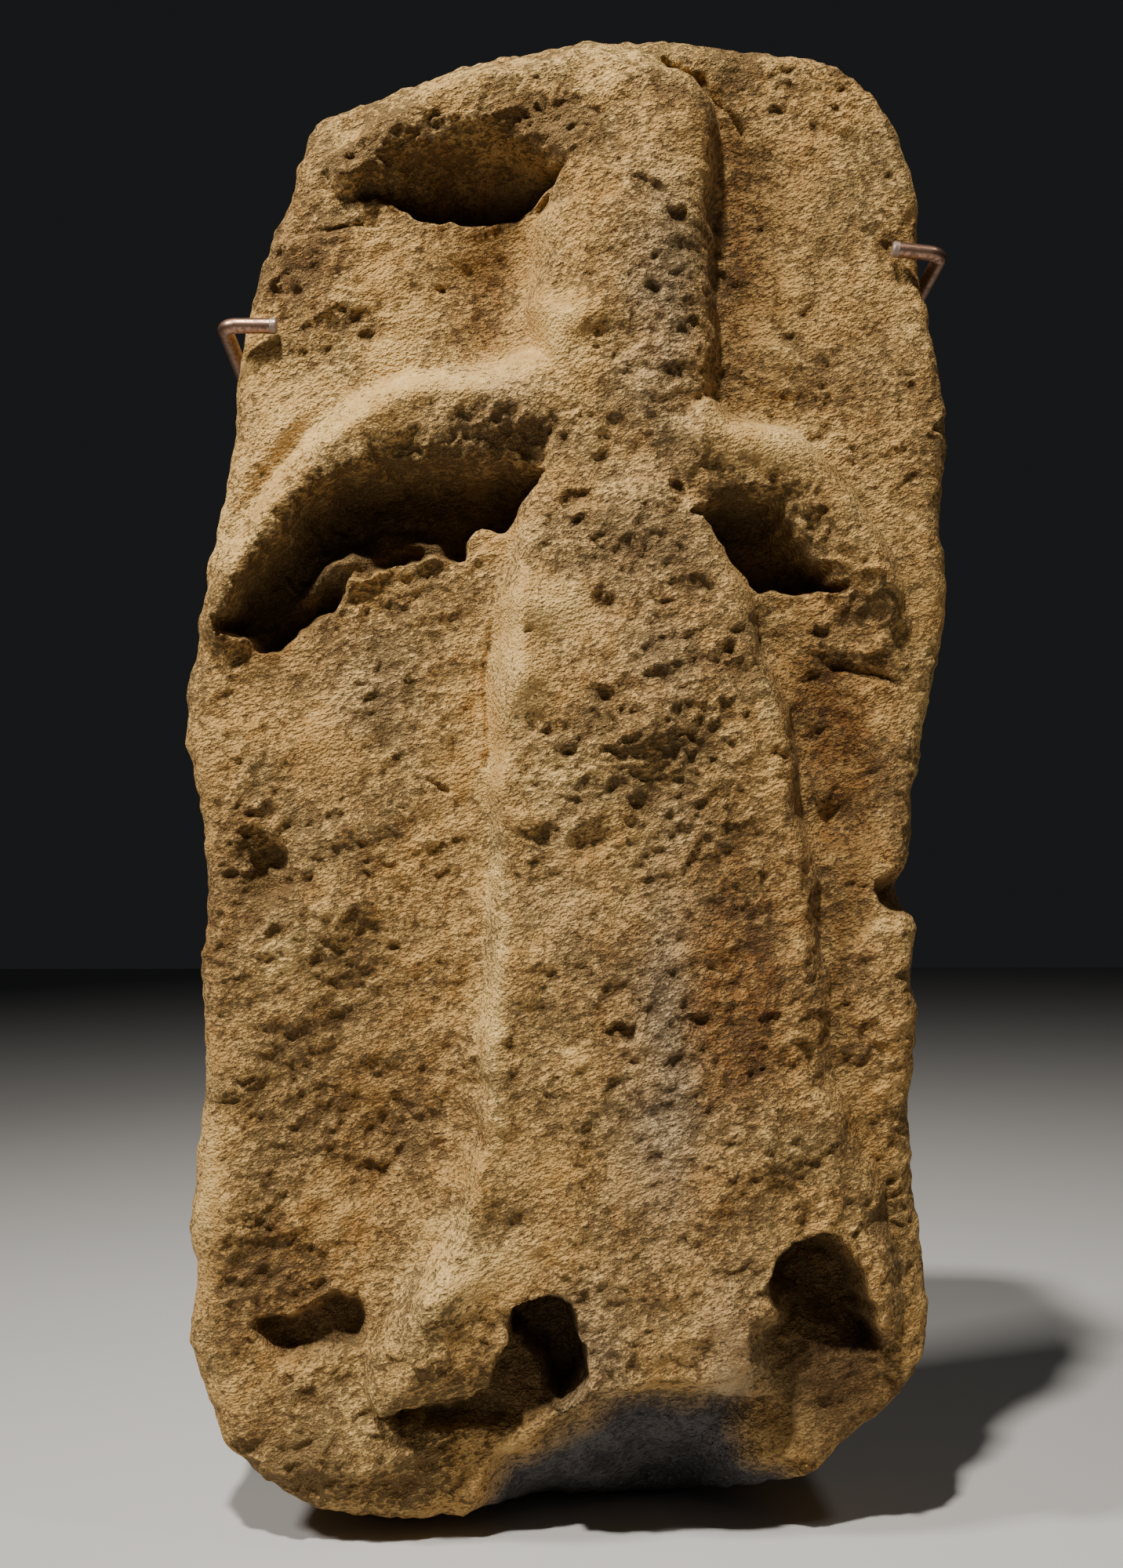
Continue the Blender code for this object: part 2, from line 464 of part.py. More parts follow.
def stone_relief(group):
    """The carved slab, thinned to facets that are small where the carving turns and large elsewhere."""
    mesh = slab_mesh(FRONT_COLUMNS, FRONT_ROWS)
    bmesh.ops.triangulate(mesh, faces=mesh.faces)
    data = bpy.data.meshes.new("stone_relief")
    count = len(mesh.faces)
    mesh.to_mesh(data)
    mesh.free()
    slab = bpy.data.objects.new("stone_relief", data)
    group.objects.link(slab)
    data.materials.append(surface_finish("limestone", STONE_COLOUR, STONE_ROUGHNESS, 0.0))
    thin = slab.modifiers.new("facets", "DECIMATE")
    thin.ratio = SLAB_TRIANGLES / count
    return slab


def edge_at(z, rows):
    """How far out one side edge of the slab lies at a height."""
    edge = even_points(rows, FRONT_ROWS)
    return float(np.interp(z, edge[:, 1], edge[:, 0]))


def rounded_corner(before, corner, after, radius, steps=6):
    """The points of an arc that rounds a corner between two straight runs."""
    into, out_of = (before - corner).normalized(), (after - corner).normalized()
    half = into.angle(out_of) / 2
    reach = radius / math.tan(half)
    centre = corner + (into + out_of).normalized() * radius / math.sin(half)
    first, last = corner + into * reach - centre, corner + out_of * reach - centre
    sweep = first.angle(last)
    points = []
    for step in range(steps + 1):
        turned = step / steps * sweep
        spoke = first * math.sin(sweep - turned) + last * math.sin(turned)
        points.append(centre + spoke / math.sin(sweep))
    return points


def clip_path(side, level, length, dip, edge_rows):
    """The line of a clip: along the front, round a bend, then back beside the slab and past the wall."""
    radius = ROD_DIAMETER / 2
    height = (level - 0.5) * SLAB_HEIGHT
    drop = LEG_DROP * SLAB_THICKNESS
    beside = [height - share * drop - dip * length for share in (0, 0.25, 0.5, 0.75, 1)]
    reach = max(side * edge_at(z, edge_rows) for z in beside)
    leg = side * (reach + SIDE_BULGE + SIDE_CLEARANCE + radius)
    tip = leg - side * length
    under = np.linspace(tip, side * reach, 12)
    front = float(np.max(front_depth(under, np.full(under.shape, height)))) + FINGER_CLEARANCE + radius
    finger = Vector((tip, -front, height))
    corner = Vector((leg, -front, height - dip * length))
    beyond = Vector((leg, ROD_DIAMETER, corner.z - LEG_DROP * (front + ROD_DIAMETER)))
    return [finger] + rounded_corner(finger, corner, beyond, BEND_RADIUS) + [beyond]


def wall_clip(name, path, finish, group):
    """A bent round rod, cut flat where it meets the wall."""
    curve = bpy.data.curves.new(name + "_line", "CURVE")
    curve.dimensions = "3D"
    curve.bevel_depth = ROD_DIAMETER / 2
    curve.bevel_resolution = 3
    curve.use_fill_caps = True
    spline = curve.splines.new("POLY")
    spline.points.add(len(path) - 1)
    for point, place in zip(spline.points, path):
        point.co = (*place, 1)
    guide = bpy.data.objects.new(name + "_line", curve)
    group.objects.link(guide)
    bpy.context.view_layer.update()
    data = bpy.data.meshes.new_from_object(guide.evaluated_get(bpy.context.evaluated_depsgraph_get()))
    bpy.data.objects.remove(guide, do_unlink=True)
    mesh = bmesh.new()
    mesh.from_mesh(data)
    bmesh.ops.remove_doubles(mesh, verts=mesh.verts, dist=0.00001)
    everything = mesh.verts[:] + mesh.edges[:] + mesh.faces[:]
    bmesh.ops.bisect_plane(mesh, geom=everything, plane_co=(0, 0, 0), plane_no=(0, 1, 0), clear_outer=True)
    bmesh.ops.holes_fill(mesh, edges=[edge for edge in mesh.edges if edge.is_boundary])
    bmesh.ops.recalc_face_normals(mesh, faces=mesh.faces)
    mesh.to_mesh(data)
    mesh.free()
    data.name = name
    data.materials.clear()
    data.materials.append(finish)
    data.shade_smooth()
    data.set_sharp_from_angle(angle=math.radians(40))
    clip = bpy.data.objects.new(name, data)
    group.objects.link(clip)
    return clip


def build():
    """Make the slab and its two clips."""
    clear_scene()
    group = collection("stone_relief_panel")
    stone_relief(group)
    metal = surface_finish("clip_metal", ROD_COLOUR, ROD_ROUGHNESS, 1.0)
    left = clip_path(-1, LEFT_CLIP_LEVEL, LEFT_FINGER_LENGTH, LEFT_FINGER_DIP, LEFT_EDGE)
    wall_clip("left_wall_clip", left, metal, group)
    right = clip_path(1, RIGHT_CLIP_LEVEL, RIGHT_FINGER_LENGTH, RIGHT_FINGER_DIP, RIGHT_EDGE)
    wall_clip("right_wall_clip", right, metal, group)


build()
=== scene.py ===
"""A worn stone relief and the two rods that hold it to its wall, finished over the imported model.

Metres, +Z up. The carved front looks along -Y and the flat back lies in the plane Y = 0.
"""

import math

import bpy
import numpy as np
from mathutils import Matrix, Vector


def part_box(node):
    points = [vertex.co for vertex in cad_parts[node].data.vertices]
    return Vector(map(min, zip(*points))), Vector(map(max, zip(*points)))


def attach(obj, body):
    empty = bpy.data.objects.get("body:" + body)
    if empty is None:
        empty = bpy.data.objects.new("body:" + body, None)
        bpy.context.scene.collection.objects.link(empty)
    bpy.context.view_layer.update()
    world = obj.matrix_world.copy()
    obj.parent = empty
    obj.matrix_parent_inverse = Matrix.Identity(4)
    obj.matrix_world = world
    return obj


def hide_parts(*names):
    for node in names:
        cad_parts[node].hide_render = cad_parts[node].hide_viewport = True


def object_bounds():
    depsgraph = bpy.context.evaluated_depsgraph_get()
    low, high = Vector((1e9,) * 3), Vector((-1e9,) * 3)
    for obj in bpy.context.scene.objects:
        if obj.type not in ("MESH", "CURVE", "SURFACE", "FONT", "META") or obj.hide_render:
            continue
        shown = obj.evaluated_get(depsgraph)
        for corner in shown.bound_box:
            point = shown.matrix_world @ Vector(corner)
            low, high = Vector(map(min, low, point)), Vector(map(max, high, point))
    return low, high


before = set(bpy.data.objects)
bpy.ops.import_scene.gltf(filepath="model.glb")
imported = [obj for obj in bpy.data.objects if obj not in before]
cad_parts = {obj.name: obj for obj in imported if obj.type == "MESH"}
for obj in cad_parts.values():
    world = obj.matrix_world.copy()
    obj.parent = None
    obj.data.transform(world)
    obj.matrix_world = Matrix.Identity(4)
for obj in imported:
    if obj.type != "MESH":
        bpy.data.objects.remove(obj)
solid_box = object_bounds()

# The stone slab
# One broken block of porous ochre limestone, carved in low relief with a standing form and then worn,
# chipped and pitted. Everything on its front is cut from that block, so it is one closed mesh.
slab_width = 0.45
slab_height = 0.88
slab_thickness = 0.12
relief = 0.030
foot_thickness = 0.050
rim_drop = 0.022
side_bulge = 0.0015
back_rounding = 0.010
front_columns = 330
front_rows = 620
rim_places = 14
rim_strip = 0.0135
rim_crowding = 1.6
side_rings = 10
back_rings = 3
curve_steps = 4
slab_triangles = 188000

# The slab's plan, in four edges: a share of the width from the middle, a share of the height from the
# foot, and the width of the worn rim there as a share of the slab's width
left_edge = (
    (-0.472, 0.098, 0.050), (-0.490, 0.130, 0.050), (-0.479, 0.171, 0.055), (-0.490, 0.202, 0.060),
    (-0.475, 0.274, 0.055), (-0.471, 0.326, 0.045), (-0.477, 0.368, 0.035), (-0.471, 0.440, 0.035),
    (-0.492, 0.504, 0.040), (-0.500, 0.546, 0.045), (-0.488, 0.588, 0.040), (-0.457, 0.673, 0.040),
    (-0.442, 0.715, 0.030), (-0.440, 0.758, 0.028), (-0.425, 0.801, 0.024), (-0.406, 0.844, 0.030),
    (-0.368, 0.887, 0.035), (-0.348, 0.930, 0.045),
)
top_edge = (
    (-0.348, 0.930, 0.045), (-0.303, 0.948, 0.050), (-0.235, 0.962, 0.055), (-0.152, 0.978, 0.060),
    (-0.068, 0.990, 0.065), (0.015, 0.998, 0.065), (0.099, 1.000, 0.060), (0.183, 0.995, 0.040),
    (0.267, 0.992, 0.030), (0.351, 0.983, 0.028), (0.400, 0.965, 0.026), (0.435, 0.938, 0.024),
)
right_edge = (
    (0.458, 0.112, 0.050), (0.469, 0.134, 0.055), (0.459, 0.189, 0.060), (0.446, 0.247, 0.050),
    (0.442, 0.289, 0.040), (0.452, 0.336, 0.034), (0.446, 0.367, 0.030), (0.450, 0.399, 0.026),
    (0.434, 0.424, 0.024), (0.446, 0.446, 0.028), (0.453, 0.483, 0.030), (0.475, 0.547, 0.030),
    (0.492, 0.589, 0.032), (0.498, 0.632, 0.034), (0.491, 0.672, 0.030), (0.500, 0.729, 0.026),
    (0.494, 0.761, 0.026), (0.482, 0.804, 0.024), (0.469, 0.847, 0.022), (0.465, 0.891, 0.026),
    (0.435, 0.938, 0.024),
)
bottom_edge = (
    (-0.472, 0.098, 0.050), (-0.456, 0.074, 0.045), (-0.441, 0.058, 0.040), (-0.410, 0.043, 0.040),
    (-0.359, 0.026, 0.045), (-0.307, 0.014, 0.050), (-0.234, 0.009, 0.055), (-0.129, 0.009, 0.050),
    (-0.077, 0.005, 0.040), (-0.024, 0.000, 0.035), (0.039, 0.000, 0.030), (0.144, 0.001, 0.030),
    (0.225, 0.009, 0.030), (0.290, 0.028, 0.035), (0.345, 0.050, 0.040), (0.395, 0.072, 0.045),
    (0.434, 0.090, 0.050), (0.458, 0.112, 0.050),
)

# The raised forms: the same two shares, and the width of the form's sloping edge
head_and_neck = (
    (0.156, 0.600, 0.024), (0.172, 0.700, 0.024), (0.186, 0.755, 0.026), (0.190, 0.844, 0.028),
    (0.189, 0.892, 0.028), (0.193, 0.929, 0.024), (0.180, 0.955, 0.024), (0.156, 0.969, 0.028),
    (0.117, 0.981, 0.040), (0.034, 0.998, 0.070), (-0.038, 0.987, 0.070), (-0.079, 0.939, 0.040),
    (-0.038, 0.888, 0.030), (-0.056, 0.864, 0.040), (-0.055, 0.835, 0.042), (-0.054, 0.804, 0.022),
    (-0.040, 0.775, 0.020), (-0.034, 0.700, 0.016), (-0.030, 0.600, 0.020),
)
curled_arm = (
    (-0.330, 0.898, 0.060), (-0.310, 0.917, 0.060), (-0.280, 0.930, 0.050), (-0.218, 0.948, 0.036),
    (-0.132, 0.967, 0.036), (-0.069, 0.976, 0.040), (0.014, 0.987, 0.040), (0.034, 0.934, 0.030),
    (-0.007, 0.891, 0.020), (-0.057, 0.877, 0.010), (-0.155, 0.873, 0.010), (-0.232, 0.880, 0.012),
    (-0.275, 0.884, 0.030), (-0.312, 0.886, 0.060),
)
left_arm = (
    (-0.007, 0.770, 0.020), (-0.045, 0.779, 0.040), (-0.089, 0.773, 0.048), (-0.174, 0.772, 0.055),
    (-0.241, 0.762, 0.055), (-0.306, 0.741, 0.055), (-0.362, 0.711, 0.055), (-0.415, 0.677, 0.055),
    (-0.470, 0.627, 0.045), (-0.487, 0.596, 0.030), (-0.458, 0.580, 0.040), (-0.418, 0.578, 0.070),
    (-0.368, 0.606, 0.095), (-0.330, 0.638, 0.110), (-0.284, 0.663, 0.120), (-0.226, 0.678, 0.125),
    (-0.160, 0.684, 0.125), (-0.088, 0.686, 0.110), (-0.028, 0.690, 0.075), (0.020, 0.704, 0.040),
    (0.034, 0.733, 0.020),
)
right_arm = (
    (0.167, 0.754, 0.020), (0.224, 0.742, 0.032), (0.297, 0.725, 0.032), (0.349, 0.703, 0.032),
    (0.387, 0.677, 0.032), (0.420, 0.650, 0.032), (0.440, 0.615, 0.040), (0.435, 0.585, 0.050),
    (0.380, 0.570, 0.060), (0.356, 0.596, 0.060), (0.322, 0.622, 0.070), (0.284, 0.646, 0.078),
    (0.250, 0.658, 0.080), (0.205, 0.661, 0.070), (0.160, 0.664, 0.040), (0.126, 0.684, 0.020),
    (0.126, 0.723, 0.020),
)
trunk = (
    (-0.024, 0.790, 0.018), (-0.028, 0.740, 0.016), (-0.038, 0.700, 0.014), (-0.060, 0.685, 0.018),
    (-0.075, 0.650, 0.030), (-0.086, 0.607, 0.034), (-0.100, 0.544, 0.030), (-0.108, 0.441, 0.024),
    (-0.118, 0.359, 0.024), (-0.120, 0.277, 0.024), (-0.129, 0.241, 0.024), (-0.149, 0.213, 0.028),
    (-0.182, 0.188, 0.030), (-0.212, 0.165, 0.030), (-0.242, 0.145, 0.028), (-0.261, 0.125, 0.024),
    (-0.264, 0.102, 0.022), (-0.236, 0.084, 0.014), (-0.137, 0.092, 0.012), (-0.027, 0.083, 0.012),
    (0.073, 0.088, 0.012), (0.189, 0.090, 0.012), (0.334, 0.092, 0.030), (0.415, 0.125, 0.040),
    (0.430, 0.173, 0.040), (0.412, 0.204, 0.034), (0.395, 0.235, 0.028), (0.375, 0.258, 0.034),
    (0.343, 0.302, 0.048), (0.331, 0.363, 0.046), (0.312, 0.431, 0.034), (0.291, 0.510, 0.024),
    (0.278, 0.550, 0.021), (0.258, 0.581, 0.020), (0.232, 0.617, 0.018), (0.216, 0.634, 0.016),
    (0.202, 0.649, 0.016), (0.176, 0.668, 0.014), (0.160, 0.700, 0.016), (0.158, 0.740, 0.016),
    (0.155, 0.790, 0.018),
)
# Each raised form with its height, in rows of a share of the slab's height and a share of the relief
raised_forms = (
    (head_and_neck, ((0.64, 0.80), (0.76, 1.08), (0.88, 1.20), (0.95, 1.05), (1.00, 0.65))),
    (curled_arm, ((0.88, 0.85), (0.94, 1.00), (1.00, 0.75))),
    (left_arm, ((0.58, 0.80), (0.66, 1.05), (0.74, 1.10))),
    (right_arm, ((0.58, 0.50), (0.65, 1.10), (0.73, 1.30))),
    (trunk, (
        (0.05, 0.90), (0.15, 1.05), (0.25, 0.92), (0.40, 0.85), (0.55, 0.98), (0.68, 1.08), (0.78, 0.98),
    )),
)
form_blend = 0.008
dome_share = 0.42
dome_reach = 4.5

# The outlines of the hollows: the same two shares, and the width of the wall inside the lip
upper_hollow = (
    (-0.278, 0.882, 0.040), (-0.282, 0.900, 0.080), (-0.232, 0.920, 0.105), (-0.168, 0.931, 0.115),
    (-0.108, 0.936, 0.115), (-0.062, 0.933, 0.105), (-0.024, 0.920, 0.075), (0.006, 0.906, 0.036),
    (-0.004, 0.893, 0.028), (-0.022, 0.884, 0.024), (-0.050, 0.873, 0.016), (-0.090, 0.868, 0.016),
    (-0.144, 0.864, 0.016), (-0.188, 0.868, 0.016), (-0.233, 0.876, 0.014),
)
left_hollow = (
    (-0.028, 0.702, 0.020), (-0.075, 0.702, 0.030), (-0.140, 0.705, 0.036), (-0.202, 0.706, 0.038),
    (-0.253, 0.704, 0.040), (-0.301, 0.696, 0.042), (-0.348, 0.678, 0.042), (-0.380, 0.655, 0.038),
    (-0.412, 0.630, 0.028), (-0.452, 0.596, 0.012), (-0.415, 0.583, 0.014), (-0.380, 0.580, 0.016),
    (-0.354, 0.588, 0.018), (-0.312, 0.603, 0.020), (-0.287, 0.621, 0.022), (-0.253, 0.629, 0.022),
    (-0.186, 0.638, 0.022), (-0.150, 0.641, 0.020), (-0.127, 0.645, 0.014), (-0.119, 0.660, 0.012),
    (-0.081, 0.664, 0.012), (-0.064, 0.675, 0.010), (-0.051, 0.689, 0.010),
)
right_hollow = (
    (0.150, 0.672, 0.010), (0.172, 0.678, 0.026), (0.218, 0.682, 0.038), (0.258, 0.680, 0.040),
    (0.288, 0.661, 0.036), (0.330, 0.638, 0.026), (0.360, 0.618, 0.012), (0.317, 0.618, 0.016),
    (0.250, 0.621, 0.016), (0.226, 0.631, 0.014), (0.204, 0.644, 0.010), (0.168, 0.665, 0.008),
)
foot_pocket = (
    (-0.015, 0.164, 0.014), (0.012, 0.150, 0.010), (0.024, 0.132, 0.010), (0.026, 0.114, 0.010),
    (0.017, 0.099, 0.012), (-0.020, 0.088, 0.014), (-0.052, 0.108, 0.014), (-0.082, 0.132, 0.010),
    (-0.076, 0.154, 0.010), (-0.040, 0.165, 0.012),
)
foot_overhang = (
    (-0.087, 0.134, 0.014), (-0.050, 0.128, 0.014), (-0.017, 0.095, 0.014), (-0.037, 0.077, 0.020),
    (-0.127, 0.073, 0.020), (-0.227, 0.080, 0.014), (-0.182, 0.088, 0.012), (-0.120, 0.098, 0.012),
)
lower_left_pocket = (
    (-0.402, 0.142, 0.016), (-0.360, 0.148, 0.020), (-0.322, 0.160, 0.022), (-0.286, 0.164, 0.022),
    (-0.258, 0.150, 0.020), (-0.264, 0.124, 0.020), (-0.296, 0.116, 0.024), (-0.340, 0.108, 0.030),
    (-0.388, 0.116, 0.030),
)
lower_right_slope = (
    (0.230, 0.150, 0.060), (0.300, 0.156, 0.050), (0.372, 0.152, 0.060), (0.424, 0.122, 0.070),
    (0.428, 0.084, 0.090), (0.362, 0.044, 0.120), (0.285, 0.034, 0.120), (0.236, 0.050, 0.100),
    (0.220, 0.100, 0.090),
)
lower_right_pocket = (
    (0.242, 0.172, 0.024), (0.260, 0.192, 0.024), (0.298, 0.200, 0.024), (0.342, 0.197, 0.028),
    (0.372, 0.178, 0.028), (0.386, 0.152, 0.026), (0.402, 0.122, 0.022), (0.372, 0.112, 0.040),
    (0.318, 0.124, 0.060), (0.264, 0.146, 0.040),
)
rim_notch = (
    (0.392, 0.430, 0.020), (0.440, 0.436, 0.026), (0.480, 0.424, 0.026), (0.470, 0.404, 0.020),
    (0.420, 0.404, 0.014), (0.398, 0.414, 0.014),
)
# Each hollow with its floor, as a share of the relief above the plain ground, and with how rounded its
# lip is, from 0 for a sharp one to 1
hollows = (
    (upper_hollow, -0.85, 1.0),
    (left_hollow, -1.00, 0.1),
    (right_hollow, -0.95, 0.2),
    (foot_pocket, -1.20, 0.2),
    (foot_overhang, -0.30, 0.0),
    (lower_left_pocket, -0.60, 0.9),
    (lower_right_slope, -0.30, 0.0),
    (lower_right_pocket, -1.15, 0.3),
    (rim_notch, -0.55, 0.0),
)
# Where the front is broken back under the foot, down to the foot's thickness
broken_underside = (
    (-0.105, 0.050, 0.120), (-0.058, 0.064, 0.130), (0.012, 0.090, 0.170), (0.040, 0.106, 0.180),
    (0.113, 0.108, 0.180), (0.190, 0.108, 0.180), (0.231, 0.120, 0.160), (0.246, 0.090, 0.140),
    (0.250, 0.056, 0.120), (0.300, 0.040, 0.100), (0.340, -0.060, 0.040), (0.200, -0.160, 0.030),
    (-0.050, -0.160, 0.030), (-0.160, -0.060, 0.040),
)

# Swells and dips of the worn surface: two shares for the place, two for the spread across and up,
# and the height as a share of the relief
swells = (
    (-0.280, 0.520, 0.110, 0.080, 0.25),
    (-0.395, 0.436, 0.032, 0.024, -0.50),
    (-0.270, 0.270, 0.120, 0.080, -0.40),
    (-0.440, 0.215, 0.040, 0.050, 0.25),
    (-0.250, 0.060, 0.120, 0.024, 0.50),
    (-0.190, 0.122, 0.050, 0.022, 0.40),
    (-0.028, 0.606, 0.040, 0.018, 0.20),
    (-0.063, 0.556, 0.026, 0.022, 0.14),
    (0.070, 0.560, 0.080, 0.040, 0.12),
    (0.070, 0.430, 0.100, 0.045, -0.20),
    (0.190, 0.400, 0.080, 0.080, -0.30),
    (0.260, 0.262, 0.070, 0.026, 0.36),
    (-0.168, 0.160, 0.036, 0.018, 0.24),
    (-0.230, 0.236, 0.060, 0.045, -0.30),
    (0.020, 0.300, 0.060, 0.050, 0.14),
    (0.200, 0.150, 0.080, 0.030, 0.18),
    (0.060, 0.850, 0.050, 0.060, 0.10),
    (0.050, 0.705, 0.060, 0.024, -0.26),
    (-0.092, 0.836, 0.060, 0.045, -0.66),
    (-0.300, 0.830, 0.080, 0.050, 0.16),
    (0.230, 0.850, 0.045, 0.120, -0.40),
    (0.340, 0.780, 0.070, 0.070, -0.10),
    (0.430, 0.330, 0.030, 0.100, 0.16),
    (0.395, 0.355, 0.055, 0.075, 0.38),
    (-0.430, 0.797, 0.060, 0.050, -0.25),
    (0.460, 0.852, 0.060, 0.050, -0.25),
)

# Lines that stand proud or are cut in: rows of the two shares and the half width as a share of the
# slab's width, with the height in shares of the relief, which is negative for a cut
crests = (
    (((-0.020, 0.742, 0.034), (-0.100, 0.748, 0.034), (-0.180, 0.745, 0.036), (-0.250, 0.732, 0.036),
      (-0.320, 0.706, 0.034), (-0.380, 0.668, 0.032), (-0.440, 0.620, 0.028)), 0.07),
    (((0.150, 0.722, 0.030), (0.210, 0.718, 0.030), (0.270, 0.708, 0.030), (0.330, 0.690, 0.030),
      (0.370, 0.664, 0.030), (0.398, 0.630, 0.030)), 0.08),
    (((-0.262, 0.926, 0.022), (-0.180, 0.948, 0.026), (-0.090, 0.962, 0.030), (0.010, 0.960, 0.040)), 0.12),
    (((-0.348, 0.618, 0.014), (-0.300, 0.634, 0.022), (-0.240, 0.648, 0.026), (-0.184, 0.646, 0.018)), 0.75),
    (((0.127, 0.978, 0.006), (0.166, 0.967, 0.006), (0.188, 0.954, 0.006), (0.197, 0.934, 0.006)), -0.16),
    (((0.170, 0.970, 0.005), (0.194, 0.957, 0.005), (0.212, 0.941, 0.005), (0.226, 0.930, 0.005)), -0.14),
    (((0.107, 0.844, 0.004), (0.121, 0.823, 0.005), (0.143, 0.803, 0.005), (0.164, 0.784, 0.006)), -0.16),
    (((0.318, 0.580, 0.007), (0.349, 0.572, 0.005), (0.387, 0.565, 0.004), (0.436, 0.557, 0.003)), -0.20),
    (((0.330, 0.588, 0.020), (0.380, 0.580, 0.020), (0.430, 0.572, 0.020)), 0.16),
    (((-0.058, 0.640, 0.026), (-0.072, 0.600, 0.034), (-0.060, 0.556, 0.030), (-0.084, 0.505, 0.036),
      (-0.070, 0.462, 0.028), (-0.094, 0.412, 0.036), (-0.080, 0.362, 0.030), (-0.102, 0.310, 0.036),
      (-0.094, 0.255, 0.034)), 0.26),
    (((-0.100, 0.260, 0.036), (-0.130, 0.210, 0.040), (-0.165, 0.176, 0.042), (-0.190, 0.146, 0.040)), 0.38),
    (((0.285, 0.610, 0.040), (0.320, 0.540, 0.055), (0.345, 0.480, 0.050)), -0.42),
    (((-0.300, 0.420, 0.060), (-0.350, 0.385, 0.065), (-0.400, 0.345, 0.065), (-0.430, 0.310, 0.060)), 0.22),
    (((0.160, 0.668, 0.020), (0.212, 0.612, 0.020), (0.240, 0.572, 0.020), (0.268, 0.520, 0.020),
      (0.290, 0.440, 0.022), (0.304, 0.340, 0.028), (0.336, 0.270, 0.028)), 0.20),
    (((-0.045, 0.804, 0.030), (-0.018, 0.790, 0.034), (0.020, 0.794, 0.030)), 0.20),
    (((-0.480, 0.640, 0.016), (-0.430, 0.690, 0.020), (-0.350, 0.735, 0.022)), 0.10),
    (((-0.222, 0.506, 0.004), (-0.199, 0.498, 0.005), (-0.160, 0.485, 0.004)), -0.10),
    (((-0.355, 0.860, 0.006), (-0.312, 0.861, 0.004), (-0.256, 0.866, 0.005)), -0.10),
    (((-0.090, 0.640, 0.004), (-0.104, 0.560, 0.004), (-0.108, 0.500, 0.003)), -0.10),
    (((0.100, 0.550, 0.026), (0.030, 0.490, 0.034), (-0.040, 0.450, 0.034)), 0.14),
)

# Single pits and chips: two shares for the place, half the length, half the width and the depth in
# millimetres, and how far the length is turned up from level, in degrees. The one with a negative depth
# is a knob that stands proud.
chips = (
    (0.060, 0.332, 10, 6.5, 8, -8), (0.231, 0.304, 5, 3.5, 4, 0), (0.152, 0.367, 4, 3, 3, 0),
    (-0.378, 0.821, 3.4, 3.2, 5, 0), (-0.254, 0.790, 9, 4, 2.5, 0), (-0.313, 0.897, 5, 3, 3, 35),
    (-0.279, 0.889, 3, 4, 3, 0), (-0.262, 0.872, 4, 5, 4, 60), (-0.316, 0.803, 5, 3, 2.5, 0),
    (-0.340, 0.796, 4, 3, 2.5, 0), (-0.171, 0.822, 3, 2.5, 2.5, 0), (-0.248, 0.807, 6, 3, 2, 20),
    (-0.351, 0.866, 6, 4, 3, 20), (-0.090, 0.906, 10, 2.5, 3, -15), (-0.007, 0.825, 9, 7, 3, 40),
    (0.048, 0.900, 7, 3, 3, 0), (0.098, 0.881, 13, 6, 5, -20), (0.138, 0.862, 10, 6, 5, -35),
    (0.128, 0.824, 6, 3, 3, -40), (0.107, 0.816, 5, 3, 2.5, -30), (0.132, 0.760, 10, 6, 3, 20),
    (0.151, 0.790, 5, 9, 4, -20), (0.269, 0.945, 6, 2.5, 3, -25), (0.347, 0.946, 6, 2.5, 3, -30),
    (0.364, 0.937, 5, 2.5, 3, -35), (0.264, 0.866, 7, 4, 3, -10), (0.193, 0.870, 4, 3, 3, 0),
    (0.193, 0.849, 5, 3, 3, 0), (0.346, 0.904, 4, 2.5, 2.5, -20), (0.416, 0.901, 3, 4, 3, 0),
    (0.277, 0.894, 5, 2.5, 2, 20), (0.289, 0.789, 7, 5, 3, 40), (0.265, 0.740, 4, 3, 3, 0),
    (0.321, 0.725, 7, 4, 3, -15), (0.207, 0.768, 4, 3, 2, 0), (0.045, 0.612, 8, 5, 4, -20),
    (0.135, 0.685, 7, 4, 5, -15), (0.010, 0.675, 10, 5, 4, 15), (-0.050, 0.715, 9, 7, 5, 20),
    (0.050, 0.607, 8, 5, 4, -10), (-0.054, 0.590, 3, 2.5, 3, 0), (0.080, 0.512, 17, 5, 4, -8),
    (0.088, 0.480, 8, 4, 3, -25), (0.275, 0.463, 5, 6, 4, 0), (0.268, 0.506, 2.5, 11, 3, 8),
    (0.365, 0.425, 9, 2, 2, -5), (0.330, 0.590, 6, 4, 4, -10), (0.022, 0.732, 6, 4, 3, 0),
    (0.141, 0.787, 5, 4, 3, 0), (-0.182, 0.350, 9, 3.5, 4, 0), (-0.227, 0.384, 5, 3, 3, 0),
    (-0.310, 0.335, 7, 5, 3, 10), (-0.390, 0.436, 12, 16, 5, -30), (-0.205, 0.560, 4, 3, 2, 0),
    (-0.158, 0.535, 6, 4, 2.5, 0), (-0.300, 0.470, 6, 3, 3, 35), (-0.455, 0.400, 7, 6, 4, 0),
    (0.412, 0.397, 10, 6, -4, 0), (0.105, 0.250, 6, 4, 3, 20), (0.210, 0.360, 6, 3, 3, 0),
    (-0.020, 0.300, 5, 4, 2.5, 0), (-0.300, 0.250, 6, 4, 3, 25), (-0.420, 0.300, 6, 4, 3, 0),
    (0.200, 0.540, 8, 5, 3, -20), (0.165, 0.620, 6, 4, 3, -20), (0.240, 0.430, 6, 4, 3, -30),
)

